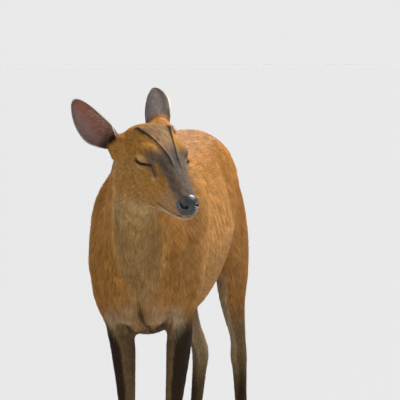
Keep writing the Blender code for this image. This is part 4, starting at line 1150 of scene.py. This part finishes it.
# Materials: name, roughness, scale and share of the noise in the colour, scale and height of the grain
materials = {
    "skin": tinted("shortCoat", 0.80, 260.0, 0.25, 900.0, 0.0006, Specular_IOR_Level=0.10),
    "coat": tinted("coatHair", 0.60, 60.0, 0.12, 0.0, 0.0, Specular_IOR_Level=0.10),
    "earSkin": tinted("earSkin", 0.60, 120.0, 0.15, 500.0, 0.0004),
    "nose": tinted("wetNose", 0.36, 300.0, 0.20, 420.0, 0.0009, Coat_Weight=0.60, Coat_Roughness=0.22),
    "horn": tinted("hoofHorn", 0.50, 90.0, 0.25, 260.0, 0.0003, Specular_IOR_Level=0.30),
    "lash": tinted("darkHair", 0.45, 60.0, 0.10, 0.0, 0.0),
    "eye": tinted("shutEye", 0.08, 200.0, 0.10, 0.0, 0.0, Coat_Weight=0.8, Coat_Roughness=0.03),
}

eyeLow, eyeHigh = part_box("eye_left")
shift = (eyeLow + eyeHigh) / 2 - inHead(*eye["centre"])
print("shift", tuple(round(v, 5) for v in shift))


def settle(thing, look, slotName, nodes=()):
    # Moves a finished piece onto the imported model, gives it its material and hides the model's parts that
    # it stands in for
    thing.data.transform(Matrix.Translation(shift))
    thing.data.materials.clear()
    thing.data.materials.append(materials[look])
    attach(thing, "root")
    if nodes:
        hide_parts(*nodes)
    return thing


def triangleList(mesh):
    mesh.calc_loop_triangles()
    flat = np.zeros(len(mesh.loop_triangles) * 3, np.int64)
    mesh.loop_triangles.foreach_get("vertices", flat)
    return flat.reshape(-1, 3)


def scatter(points, triangles, share, count, random):
    # Places spread over the triangles by area and share, with each one's three corner weights
    a, b, c = (points[triangles[:, i]] for i in range(3))
    area = np.linalg.norm(np.cross(b - a, c - a), axis=1) / 2
    total = np.cumsum(area * share)
    picks = (np.arange(count) + random.random(count)) / count * total[-1]
    chosen = np.minimum(np.searchsorted(total, picks), len(total) - 1)
    r, s = random.random(count), random.random(count)
    flip = r + s > 1
    r[flip], s[flip] = 1 - r[flip], 1 - s[flip]
    return chosen, np.column_stack([1 - r - s, r, s])


# A tuft: narrowing of its sections, height over width, arch, depth of its root, tones (painted shade at the
# root, and the gain up to full colour) and half its bake patch
tuft = {
    "narrowing": (1.0, 0.9, 0.65),
    "high": 0.7,
    "arch": (0.80, 0.10),
    "sunk": 0.0003,
    "tone": (0.80, 0.20),
    "tipFrom": 0.4,
    "facing": (0.55, 0.3),
    "patch": 0.0015,
}


def tuftMesh(name, tufts, bends):
    # Thin closed tufts of three sides. Each leaves the skin, lies along its way and bends back at the tip
    count, steps = len(tufts["root"]), len(bends)
    corners = steps * 3 + 1
    across = np.cross(tufts["way"], tufts["normal"])
    across /= np.linalg.norm(across, axis=1)[:, None] + 1e-9
    places, facing, colours = (np.zeros((count, corners, 3), np.float32) for _ in range(3))
    patches = np.zeros((count, corners, 2), np.float32)
    bow, lift = tuft["arch"]
    rootShade, gain = tuft["tone"]
    aside, forward = tuft["facing"]
    patch = tuft["patch"]
    for k, t in enumerate((*bends, 1.0)):
        high = tufts["stand"] * (math.sin(math.pi * bow * t) + lift * t) - tuft["sunk"] * (t == 0)
        centre = tufts["root"] + tufts["way"] * (tufts["long"] * t)[:, None] + tufts["normal"] * high[:, None]
        centre = centre + across * (tufts["sway"] * tufts["long"] * t * t)[:, None]
        # Painted shade at the root among the hairs, up to the full colour at the tuft's middle
        tone = tufts["tint"] * (rootShade + gain * min(1.0, 2 * t))
        toTip = max(0.0, t - tuft["tipFrom"]) / (1 - tuft["tipFrom"])
        tone = tone + (tufts["tip"] - tufts["tint"]) * toTip**1.2
        if k == steps:
            places[:, -1] = centre
            facing[:, -1] = tufts["normal"] + forward * tufts["way"]
            colours[:, -1] = tone
            patches[:, -1] = tufts["place"] + (0.0, patch)
            continue
        half = (tufts["wide"] * tuft["narrowing"][k] / 2)[:, None]
        for i, (sideways, above) in enumerate(((-1, 0), (1, 0), (0, tuft["high"]))):
            places[:, k * 3 + i] = centre + (across * sideways + tufts["normal"] * above) * half
            facing[:, k * 3 + i] = tufts["normal"] + across * aside * sideways
            colours[:, k * 3 + i] = tone
            patches[:, k * 3 + i] = tufts["place"] + (patch * sideways, 2 * patch * t - patch)
    faces = [(0, 1, 2)]
    for low in range(0, steps * 3 - 3, 3):
        for i in range(3):
            j = (i + 1) % 3
            faces += [(low + i, low + 3 + i, low + j), (low + j, low + 3 + i, low + 3 + j)]
    low = steps * 3 - 3
    faces += [(low + i, steps * 3, low + (i + 1) % 3) for i in range(3)]
    index = (np.array(faces)[None] + (np.arange(count) * corners)[:, None, None]).reshape(-1)
    mesh = bpy.data.meshes.new(name)
    mesh.vertices.add(count * corners)
    mesh.vertices.foreach_set("co", places.ravel())
    mesh.loops.add(len(index))
    mesh.loops.foreach_set("vertex_index", index.astype(np.int32))
    mesh.polygons.add(len(index) // 3)
    mesh.polygons.foreach_set("loop_start", np.arange(0, len(index), 3, dtype=np.int32))
    mesh.update(calc_edges=True)
    setColour(mesh, np.clip(colours.reshape(-1, 3), 0, 1))
    layer = mesh.uv_layers.new(name="OFBake")
    layer.data.foreach_set("uv", np.clip(patches.reshape(-1, 2)[index], 0, 1).ravel())
    mesh.shade_smooth()
    if steps == 1:
        facing = facing.reshape(-1, 3)
        mesh.normals_split_custom_set_from_vertices(facing / np.linalg.norm(facing, axis=1)[:, None])
    return linked(name, mesh)


def turnAbout(points, middle, across, along, span, column=0, columns=1):
    # A place on an unwrap of the skin: round an axis, and along it, in one of a few columns side by side
    away = points - middle
    round01 = np.arctan2(away @ across[0], away @ across[1]) / (2 * math.pi) + 0.5
    along01 = (points @ along - span[0]) / (span[1] - span[0])
    return np.column_stack([(column + 0.03 + 0.94 * round01) / columns, 0.02 + 0.96 * np.clip(along01, 0, 1)])


def unwrapRound(*layout, moved=None):
    # An unwrap round one axis: its middle, the two ways across it, the way along it and the span there
    return lambda points: turnAbout(moved(points) if moved else points, *layout)


def unwrapLegs(rows, drift):
    keys = np.array(rows)[::-1]

    def unwrap(points):
        out = np.zeros((len(points), 2))
        moved = driftAt(points[:, 2], rows, drift)
        for column, side in enumerate((1, -1)):
            mine = (points[:, 0] - moved) * side > 0
            at = points[mine]
            x = side * np.interp(at[:, 2], keys[:, 2], keys[:, 0]) + moved[mine]
            middle = np.column_stack([x, np.interp(at[:, 2], keys[:, 2], keys[:, 1]), at[:, 2]])
            out[mine] = turnAbout(at, middle, ((1, 0, 0), (0, 1, 0)), (0, 0, 1), (0.0, 0.46), column, 2)
        return out

    return unwrap


unwrapHead = unwrapRound((0, 0, -0.02), ((1, 0, 0), (0, 0, 1)), (0, 1, 0), (-0.13, 0.12), moved=toHead)
unwrapTrunk = unwrapRound((-0.008, 0, 0.43), ((1, 0, 0), (0, 0, 1)), (0, 1, 0), (-0.28, 0.34))
unwrapNeck = unwrapRound((0.008, -0.22, 0.47), ((1, 0, 0), (0, -0.65, 0.76)), (0, -0.6, 0.8), (0.35, 0.66))
unwrapTail = unwrapRound((0.004, 0.350, 0), ((1, 0, 0), (0, 1, 0)), (0, 0, 1), (0.37, 0.58))
unwrapFore, unwrapHind = (unwrapLegs(rows, drift) for rows, drift in legs.values())
# Sections of a tuft from its root, as shares of its length
flat, bent, curled = (0.0,), (0.0, 0.5), (0.0, 0.35, 0.7)
# Coat pieces: number of tufts, width for their length, shares of the combed length and stand, sections,
# slot and unwrap
coats = {
    "faceCoat": (46000, 0.13, 0.80, 0.45, flat, "face_coat", unwrapHead),
    "pollCoat": (28000, 0.11, 0.85, 0.55, flat, "face_coat", unwrapHead),
    "neckCoat": (40000, 0.085, 0.85, 0.45, flat, "neck_coat", unwrapNeck),
    "chestCoat": (38000, 0.075, 0.85, 0.45, flat, "neck_coat", unwrapNeck),
    "flankCoatLeft": (42000, 0.095, 0.87, 0.45, flat, "coat", unwrapTrunk),
    "flankCoatRight": (42000, 0.095, 0.87, 0.45, flat, "coat", unwrapTrunk),
    "rumpCoat": (42000, 0.095, 0.87, 0.45, flat, "coat", unwrapTrunk),
    "foreLegCoat": (21000, 0.11, 0.70, 0.55, flat, "leg_coat", unwrapFore),
    "hindLegCoat": (24000, 0.11, 0.70, 0.55, flat, "leg_coat", unwrapHind),
    "tailCoat": (9000, 0.036, 0.70, 0.34, bent, "tail_coat", unwrapTail),
}


def coatZones(centres):
    # Which coat piece each triangle of the skin carries
    local = toHead(centres)
    x, y, z = centres.T
    onHead = (behindHead(local) < 0) & (fromFace(local) < 0.15)
    zone = np.full(len(centres), "flankCoatRight", dtype="U16")
    zone[x > -0.010] = "flankCoatLeft"
    zone[y > 0.150] = "rumpCoat"
    zone[(y < -0.195) & (z < 0.44)] = "chestCoat"
    zone[(y < -0.165) & (z >= 0.44) & ((y + 0.165) * -0.764 + (z - 0.570) * 0.645 > -0.02)] = "neckCoat"
    zone[(y < -0.225) & (z >= 0.44)] = "neckCoat"
    zone[(z < 0.300) & (y < 0.0) & (y > -0.26) & (limbReach(centres, foreRows, 0.0) < 1.5)] = "foreLegCoat"
    zone[(z < 0.345) & (y > 0.140)] = "hindLegCoat"
    zone[(y > 0.333) & (z > 0.37)] = "tailCoat"
    zone[onHead] = "pollCoat"
    zone[onHead & (local[:, 1] > -0.010)] = "faceCoat"
    return zone


def bareShare(points):
    # Where the coat grows: 1, or 0 on the nose, in the slits of the eyes and in the mouth's line
    local = toHead(points)
    share = fall(padReach(local), -0.0010, 0.0)
    for path, clear in ((mouthPath, 0.0012), (glandPath, 0.0014)):
        away, _ = toPath(bothSides(local), path)
        share *= rise(away, clear * 0.6, clear * 1.4)
    for side in sides.values():
        a, b, ahead, open = lidPlace(points, side)
        slit = (np.abs(b) < open + 0.0012) & (np.abs(a) < eye["slitHalf"] + 0.001)
        share[slit & (ahead > 0) & (ahead < 0.03)] = 0
    return share


# Looks of the coat: noises as weight, size and seed, and shares of random spread
coatLook = {
    "firstSeed": 100,
    "clump": (0.0060, 14),
    "clumpStretch": {"neck_coat": (1.0, 0.30, 0.35), "leg_coat": (1.0, 0.30, 0.35)},
    "bodyStretch": (0.50, 0.40, 1.0),
    "swing": ((0.12, 0.045, 11), (0.10, 0.016, 15)),
    "swingStray": 0.10,
    "long": (0.70, 1.20),
    "longNoise": (0.15, 0.03, 12),
    "tone": (0.10, 0.015, 13),
    "toneClump": 0.17,
    "toneStray": 0.26,
    "toneLimits": (0.40, 1.7),
    "tip": (0.10, 0.50),
    "stand": (0.4, 1.5),
    "standClump": 0.35,
    "wide": (0.75, 1.25),
    "sway": 0.10,
}


def growCoat(skin):
    mesh = skin.data
    points, normals = pointsOf(mesh), normalsOf(mesh)
    triangles = triangleList(mesh)
    centres = points[triangles].mean(1)
    zones = coatZones(centres)
    # Denser on the muzzle and down the legs
    growing = bareShare(centres) * (1 + 1.5 * rise(toHead(centres)[:, 1], 0.02, 0.08))
    growing *= 1 + 0.8 * fall(centres[:, 2], 0.12, 0.25)
    look = coatLook
    for number, (name, (count, wide, reach, lift, bends, slotName, unwrap)) in enumerate(coats.items()):
        random = np.random.default_rng(look["firstSeed"] + number)
        chosen, weights = scatter(points, triangles, (zones == name) * growing, count, random)
        corner, weights = triangles[chosen], weights[:, :, None]
        roots, facing = (points[corner] * weights).sum(1), (normals[corner] * weights).sum(1)
        facing /= np.linalg.norm(facing, axis=1)[:, None]
        way, long, stand = combed(roots)
        stretch = look["clumpStretch"].get(slotName, look["bodyStretch"])
        clump = ripple(roots * stretch, *look["clump"])
        swing = ripples(roots, look["swing"]) + random.normal(size=count) * look["swingStray"]
        way = way + np.cross(way, facing) * swing[:, None]
        way -= (way * facing).sum(1)[:, None] * facing
        way /= np.linalg.norm(way, axis=1)[:, None] + 1e-9
        long = long * reach * random.uniform(*look["long"], count) * (1 + ripples(roots, [look["longNoise"]]))
        tint = markings(roots, facing)
        dark = fall(tint.sum(1), 0.06, 0.12)
        # Dark hair of the face is shorter
        long = long * (1 - 0.30 * dark * rise(toHead(roots)[:, 1], -0.10, -0.06) * (roots[:, 2] > 0.45))
        tone = ripples(roots, [look["tone"]]) + look["toneClump"] * clump
        tone = tone + random.normal(size=count) * look["toneStray"]
        tint = tint * np.clip(1 + tone, *look["toneLimits"])[:, None]
        pale = random.random(count)[:, None] ** 2
        least, more = look["tip"]
        tufts = {
            "root": roots,
            "normal": facing,
            "way": way,
            "long": long,
            "stand": stand * lift * random.uniform(*look["stand"], count) * (1 + look["standClump"] * clump),
            "wide": long * wide * random.uniform(*look["wide"], count),
            "sway": random.normal(size=count) * look["sway"],
            "tint": tint,
            "tip": tint * (1 + (least + more * pale) * (1 - dark[:, None])),
            "place": unwrap(roots),
        }
        settle(tuftMesh(name, tufts, bends), "coat", slotName)
    print("coat grown:", sum(coat[0] for coat in coats.values()), "tufts")


def earPoint(sideName, t, s, inner):
    # A place on an ear: t from root to tip, s from its upper to its lower edge, on its outer or inner face
    root, tip, opening, bow = ear[sideName]
    turned = np.array(headFrame().to_3x3())
    up = turned @ np.array(tip)
    up /= np.linalg.norm(up)
    face = turned @ np.array(opening)
    face -= face @ up * up
    face /= np.linalg.norm(face)
    wide = np.cross(up, face)
    if wide @ turned @ np.array((sides[sideName], 0, -0.6)) < 0:
        wide = -wide
    base = np.array(inHead(*root)) + up * ear["shellStart"]
    swell = np.sin(math.pi * np.minimum(1, 0.17 + 0.83 * t) ** 0.95).clip(0, 1) ** 0.54
    opened = np.minimum(1.0, t / ear["openBy"])
    closed = (1 - opened) * ear["rootRadius"]
    half = np.maximum(closed + opened * ear["wide"] * swell, 0.0008)
    deep = np.maximum(closed + opened * ear["deep"] * (1 - t).clip(0, 1) ** 0.7, 0.0012)
    turn = np.radians(ear["wrap"][0] - ear["wrap"][1] * opened) * s
    wall = np.minimum(ear["wall"] * (1.1 - 0.6 * t), half * 0.6) * inner
    fold = 0.0006 * np.cos(s * 7.0 + 0.6) * rise(t, 0.06, 0.25) * fall(t, 0.6, 0.92) * inner
    bowed = bow * np.sin(math.pi * t**0.75)
    length = ear["length"] + ear["start"] - ear["shellStart"]
    lean = ear["deep"] * ear["lean"] * t * t
    centre = base + np.outer(t * length, up) - np.outer(lean, face) + np.outer(bowed, wide)
    out, back = (half - wall) * np.sin(turn), (deep - wall - fold) * np.cos(turn)
    return centre + np.outer(out, wide) - np.outer(back, face)


earColours = {
    "red": (0.250, 0.080, 0.048),
    "pink": (0.270, 0.175, 0.150),
    "dark": (0.028, 0.020, 0.019),
    "back": (0.190, 0.150, 0.140),
    "streak": (0.330, 0.270, 0.250),
    "rim": (0.640, 0.570, 0.450),
    "hair": (0.620, 0.490, 0.390),
    "base": (0.330, 0.160, 0.052),
}


def earTint(t, s, inner, points):
    colour = np.where(inner[:, None] > 0.5, np.array(earColours["red"]), np.array(earColours["back"]))
    paint = painter(colour, earColours)
    mottle = ripple(points, 0.016, 31) + 0.5 * ripple(points, 0.006, 33)
    paint("pink", inner * rise(s, -0.10, 0.40) * (0.80 + 0.20 * mottle))
    paint("dark", inner * rise(mottle, -0.8, 1.6) * rise(s, -0.3, 0.5) * 0.42)
    paint("dark", inner * fall(s, -0.86, -0.66) * rise(t, 0.50, 0.75) * 0.65)
    paint("dark", inner * hump(s + 0.62, 0.10) * fall(t, 0.15, 0.45) * 0.7)
    paint("dark", inner * rise(t, 0.86, 0.97) * 0.5)
    # Painted shade deep inside the ear, where it closes round towards the root
    paint("dark", inner * fall(t, 0.08, 0.20) * 0.8)
    # Painted shade along both edges of the ear's back
    paint("dark", (1 - inner) * (rise(s, 0.22, 0.62) + fall(s, -0.85, -0.55)) * 0.75)
    streak = rise(ripple(points, 0.010, 32), 0.0, 1.0)
    paint("streak", (1 - inner) * fall(np.abs(s), 0.1, 0.5) * streak * 0.6)
    paint("base", (1 - inner) * fall(t, 0.02, 0.13))
    edge = 0.925 - 0.055 * (1 - inner)
    paint("rim", rise(np.abs(s) - edge, 0, 0.040) * rise(t, 0.10, 0.20))
    paint("rim", rise(t, 0.975, 0.99))
    return colour


# Hairs of the ears: number, length, stand and width
earHairs = {
    "back": (8200, 0.0036, 0.0004, 0.00042),
    "rim": (1500, 0.0028, 0.0005, 0.00034),
    "down": (1500, 0.0022, 0.0002, 0.00030),
    "inside": (250, 0.0078, 0.0020, 0.00026),
}
hairKeys = ("root", "normal", "way", "long", "stand", "wide", "sway", "tint", "tip", "place")


def earShell(sideName):
    along, over = 44, 40
    lines = np.linspace(0, 1, along) ** 0.85, np.sin(np.linspace(-1, 1, over) * math.pi / 2)
    t, s = (np.tile(grid.ravel(), 2) for grid in np.meshgrid(*lines, indexing="ij"))
    inner = np.repeat((0.0, 1.0), along * over)
    points = earPoint(sideName, t, s, inner)
    faces = []
    for layer in (0, along * over):
        for i in range(along - 1):
            for j in range(over - 1):
                at = layer + i * over + j
                faces.append((at, at + 1, at + over + 1, at + over))
    rim = [i * over for i in range(along)] + [(along - 1) * over + j for j in range(1, over)]
    rim += [i * over + over - 1 for i in range(along - 2, -1, -1)] + list(range(over - 2, 0, -1))
    for a, b in zip(rim, rim[1:] + rim[:1]):
        faces.append((a, b, b + along * over, a + along * over))
    made = newObject("earShell" + sideName.capitalize(), points, faces)
    setColour(made.data, earTint(t, s, inner, points))
    settle(shaded(made), "earSkin", "ear_skin", ["ear_" + sideName])


def earHair(sideName, column, kind):
    # Short coat outside, a pale rim, sparse down inside, and long pale hairs from the upper edge over the cup
    count, long, stand, wide = earHairs[kind]
    random = np.random.default_rng((7, column, count, len(kind)))
    t, s = random.uniform(0.02, 0.97, count), random.uniform(-0.98, 0.98, count)
    inner = np.full(count, float(kind in ("inside", "down")))
    if kind == "rim":
        t, s = 0.10 + 0.895 * random.random(count) ** 0.8, np.where(random.random(count) < 0.5, -1.0, 1.0)
    if kind == "inside":
        t, s = random.uniform(0.06, 0.66, count), -0.93 + 0.85 * random.random(count) ** 1.2
    roots = earPoint(sideName, t, s, inner)
    tipward = earPoint(sideName, t + 0.02, s, inner) - roots
    tipward /= np.linalg.norm(tipward, axis=1)[:, None]
    across = earPoint(sideName, t, s + 0.03 * np.where(s > 0, -1, 1), inner) - roots
    across /= np.linalg.norm(across, axis=1)[:, None]
    if kind == "rim":
        outward = roots - earPoint(sideName, t, s * 0, inner * 0 + 0.5)
    else:
        outward = earPoint(sideName, t, s, inner * 0) - earPoint(sideName, t, s, inner * 0 + 1)
        outward = outward * (1 - 2 * inner)[:, None]
    facing = np.cross(tipward, across)
    facing *= np.where((facing * outward).sum(1) < 0, -1, 1)[:, None]
    ways = {"rim": tipward - 0.45 * across, "inside": across + 0.55 * tipward}
    way = ways.get(kind, tipward) + random.normal(size=(count, 3)) * (0.35 if kind == "inside" else 0.10)
    way -= (way * facing).sum(1)[:, None] * facing
    way /= np.linalg.norm(way, axis=1)[:, None]
    tint = earTint(t, s, inner, roots)
    if kind in ("rim", "inside"):
        tint = np.tile(earColours["rim" if kind == "rim" else "hair"], (count, 1))
    tint = tint * random.uniform(0.78, 1.22, (count, 1))
    spread = random.uniform(0.65, 1.3, count) * (1 + 1.3 * fall(t, 0.05, 0.28) * (kind == "back"))
    place = np.column_stack([(column * 2 + inner + 0.1 + 0.4 * (s + 1)) / 4, 0.02 + 0.96 * t])
    sway = random.normal(size=count) * 0.2
    lengths = long * spread, stand * spread, np.full(count, wide)
    return dict(zip(hairKeys, (roots, facing, way, *lengths, sway, tint, tint * 1.25, place)))


# Lashes: which lid, number and length of each row, then what all of them share
lashes = {
    "rows": ((1, 74, 0.0032), (-1, 40, 0.0012)),
    "span": (-0.93, 0.90),
    "near": 0.0016,
    "stand": -0.10,
    "wide": 0.00040,
    "tones": ((0.010, 0.008, 0.008), (0.014, 0.011, 0.010)),
}


def growEars():
    short, locks = [], []
    for column, sideName in enumerate(sides):
        earShell(sideName)
        short += [earHair(sideName, column, kind) for kind in ("back", "rim", "down")]
        locks.append(earHair(sideName, column, "inside"))
    for name, rows, bends in (("earCoat", short, flat), ("earLocks", locks, curled)):
        tufts = {key: np.concatenate([row[key] for row in rows]) for key in hairKeys}
        settle(tuftMesh(name, tufts, bends), "coat", "ear_skin")


def growEyes(skin):
    # Each ball lies behind its nearly shut lids, with dark lashes along the upper lid and a few below
    points = pointsOf(skin.data)
    radius, slitHalf = eye["radius"] * eye["ballShare"], eye["slitHalf"]
    hairs = []
    for column, (sideName, side) in enumerate(sides.items()):
        made = ball("eyeBall" + sideName.capitalize(), eyeCentre(side), (radius,) * 3, None, 32, 48)
        setColour(made.data, (0.006, 0.005, 0.005))
        settle(shaded(made), "eye", "eye", ["eye_" + sideName])
        centre, look, along, up = eyeFrame(side)
        a, b, ahead, _ = lidPlace(points, side)
        inFront = (ahead > 0.004) & (ahead < 0.03)
        for upper, count, long in lashes["rows"]:
            random = np.random.default_rng((9, column, count))
            for reach in np.linspace(*lashes["span"], count) * slitHalf:
                lens = 1 - (reach / slitHalf) ** 2
                level = upper * (slitHeight(lens) + 0.0002)
                nearby = (np.abs(a - reach) < lashes["near"]) & (np.abs(b - level) < lashes["near"]) & inFront
                depth = ahead[nearby].max() if nearby.any() else radius
                root = centre + look * (depth - 0.0004) + along * reach + up * (level - eye["slitSag"] * lens)
                way = look * 0.45 - up * 0.85 * upper + along * 0.45 * reach / slitHalf
                way = way + random.normal(size=3) * 0.08
                way /= np.linalg.norm(way)
                facing = up * upper - way * (way @ up) * upper
                facing /= np.linalg.norm(facing)
                lengths = long * random.uniform(0.8, 1.15), lashes["stand"] * long, lashes["wide"]
                place = (0.25 + 0.5 * column + 0.2 * reach / slitHalf, 0.5 + 0.1 * upper)
                sway = random.normal() * 0.1
                hairs.append((root, facing, way, *lengths, sway, *lashes["tones"], place))
    tufts = {key: np.array(values) for key, values in zip(hairKeys, zip(*hairs))}
    settle(tuftMesh("lashes", tufts, curled), "lash", "dark_coat")


# Hoof sections: share of the height, then the length, width and setback there
hoofRows = [(0, 1.0, 0.97, 0), (0.14, 1.0, 1.0, 0.02), (0.58, 0.83, 0.92, 0.17), (1, 0.62, 0.72, 0.32)]
hoofColour, spurColour = (0.030, 0.023, 0.018), (0.016, 0.012, 0.010)
# Dewclaw sections: behind and above its place, half across and half deep
spurRows = [
    (-0.001, 0.002, 0.0024, 0.0028),
    (0.001, -0.002, 0.0034, 0.0036),
    (0.001, -0.007, 0.0029, 0.0029),
    (-0.001, -0.011, 0.0013, 0.0014),
]


def clawForm(name, foot, outward):
    # One hoof of a foot, with a worn rim and faint growth rings
    turn = np.linspace(0, 2 * math.pi, 40, endpoint=False)
    heights, *forms = zip(*hoofRows)
    rings = []
    for share in (0.0, *np.linspace(0.012, 1.0, 14)):
        long, wide, back = (np.interp(share, heights, form) for form in forms)
        worn = 0.94 if share == 0 else 1 + 0.006 * math.cos(share * 34)
        curl = 1 - 0.28 * float(rise(share, 0.80, 1.0))
        ahead = hoof["long"] * worn * (long * curl * np.cos(turn) - back)
        out = hoof["wide"] * worn * wide * curl * np.sin(turn) * (1 - 0.40 * np.cos(turn)) / 1.10
        top = hoof["tall"] + 0.0004 - hoof["slope"] * (hoof["long"] - ahead) * 0.5
        middle = foot.x + outward * hoof["apart"] * (1 - 0.12 * share**2)
        rings.append(np.column_stack([middle + out, foot.y - ahead, share * top]))
    return loft(name, rings)


def growHooves():
    # Cloven hooves, and two small horn claws behind each fetlock
    for kind, (rows, drift) in legs.items():
        for sideName, side in sides.items():
            for toe, label in ((1, "outer"), (-1, "inner")):
                title = kind.capitalize() + sideName.capitalize() + label.capitalize()
                claw = clawForm("claw" + title, hoofPlace(rows, side, drift), toe * side)
                height = pointsOf(claw.data)[:, 2]
                tone = 1 + 0.5 * fall(height, 0.0005, 0.004) + 0.2 * np.cos(height * 1500)
                setColour(claw.data, np.array(hoofColour) * tone[:, None])
                settle(shaded(claw), "horn", "horn", ["_".join(("hoof", kind, sideName, label))])
                x, y, z = dewclawPlace(rows, side, drift, toe)
                tips = [(x, y + behind, z + above, across, deep) for behind, above, across, deep in spurRows]
                spur = sweep("spur" + title, tips, (1, 0, 0), 16)
                setColour(spur.data, spurColour)
                settle(shaded(spur), "horn", "horn")


print("forms ready")
skin = refine(blendedFlesh())
print("skin blended:", len(skin.data.polygons), "faces")
settle(shaded(growNose(skin)), "nose", "nose_pad", ["nose"])
sculpt(skin)
openEyes(skin)
cutFeet(skin)
print("face and feet done")
growCoat(skin)
growEars()
growEyes(skin)
growHooves()
print("ears, eyes and hooves done")
setColour(skin.data, markings(pointsOf(skin.data), normalsOf(skin.data)) * skinShade)
flesh = ["torso", "neck", "head", "tail"]
for sideName in sides:
    flesh += [f"foreleg_{sideName}_{part}" for part in ("shoulder", "forearm", "cannon", "foot")]
    flesh += [f"hindleg_{sideName}_{part}" for part in ("thigh", "gaskin", "cannon", "foot")]
settle(shaded(skin), "skin", "coat", flesh)
print("skin placed")

# Floor, lights and camera
studio = {
    "floor": (0.437, 0.457, 0.497),
    "horizon": (0.820, 0.820, 0.820),
    "sky": (0.450, 0.450, 0.450),
    "floorReach": 60.0,
    "target": Vector((0.0332, 0.0791, 0.485)),
    "azimuth": math.radians(11.5),
    "elevation": math.radians(2.5),
    "distance": 6.5,
    "lens": 380.25,
    "sensor": 36,
    "lampAim": Vector((0, 0, 0.4)),
}
# Lights: kind, place, size in metres or spread in radians, strength and colour
lamps = {
    "sun": ("SUN", (1.3, 1.5, 3.2), 0.35, 5.0, (1.0, 0.95, 0.86)),
    "front": ("AREA", (-1.2, -3.4, 2.2), 2.0, 12.0, (1.0, 0.98, 0.95)),
}


def makeSky():
    # Light from all round, with the floor's own shade low down, so that no line shows where they meet
    world = bpy.data.worlds.new("studio")
    world.use_nodes = True
    tree = world.node_tree
    link = tree.links.new
    where, parts, mixed = (newNode(tree, kind) for kind in ("TexCoord", "SeparateXYZ", "Mix"))
    ramp = newNode(tree, "MapRange", From_Min=0.0, From_Max=0.30)
    ramp.interpolation_type = "SMOOTHSTEP"
    mixed.data_type = "RGBA"
    mixed.inputs["A"].default_value = (*studio["horizon"], 1)
    mixed.inputs["B"].default_value = (*studio["sky"], 1)
    link(where.outputs["Generated"], parts.inputs["Vector"])
    link(parts.outputs["Z"], ramp.inputs["Value"])
    link(ramp.outputs["Result"], mixed.inputs["Factor"])
    link(mixed.outputs["Result"], tree.nodes["Background"].inputs["Color"])
    bpy.context.scene.world = world


def makeStudio():
    makeSky()
    bpy.ops.mesh.primitive_circle_add(
        vertices=96, radius=studio["floorReach"], fill_type="NGON", location=(0, 0, -0.0003)
    )
    floor = bpy.context.object
    floor.name = "floor"
    floor.data.materials.append(newMaterial("paleFloor", Roughness=0.85, Base_Color=(*studio["floor"], 1))[0])
    for name, (kind, place, size, power, colour) in lamps.items():
        light = linked(name, bpy.data.lights.new(name, kind))
        if kind == "SUN":
            light.data.angle = size
        else:
            light.data.size = size
        light.data.energy = power
        light.data.color = colour
        light.location = place
        light.rotation_mode = "QUATERNION"
        light.rotation_quaternion = (Vector(place) - studio["lampAim"]).to_track_quat("Z", "Y")
    camera = linked("camera", bpy.data.cameras.new("camera"))
    a, e = studio["azimuth"], studio["elevation"]
    back = Vector((math.sin(a) * math.cos(e), -math.cos(a) * math.cos(e), math.sin(e)))
    camera.location = studio["target"] + back * studio["distance"]
    camera.rotation_mode = "QUATERNION"
    camera.rotation_quaternion = (-back).to_track_quat("-Z", "Y")
    camera.data.sensor_width = studio["sensor"]
    camera.data.lens = studio["lens"]
    bpy.context.scene.camera = camera
    bpy.context.scene.view_settings.view_transform = "Standard"


makeStudio()
total = 0
for thing in bpy.data.objects:
    if thing.type == "MESH" and not thing.hide_render:
        thing.data.calc_loop_triangles()
        total += len(thing.data.loop_triangles)
print("studio ready;", total, "triangles in all")
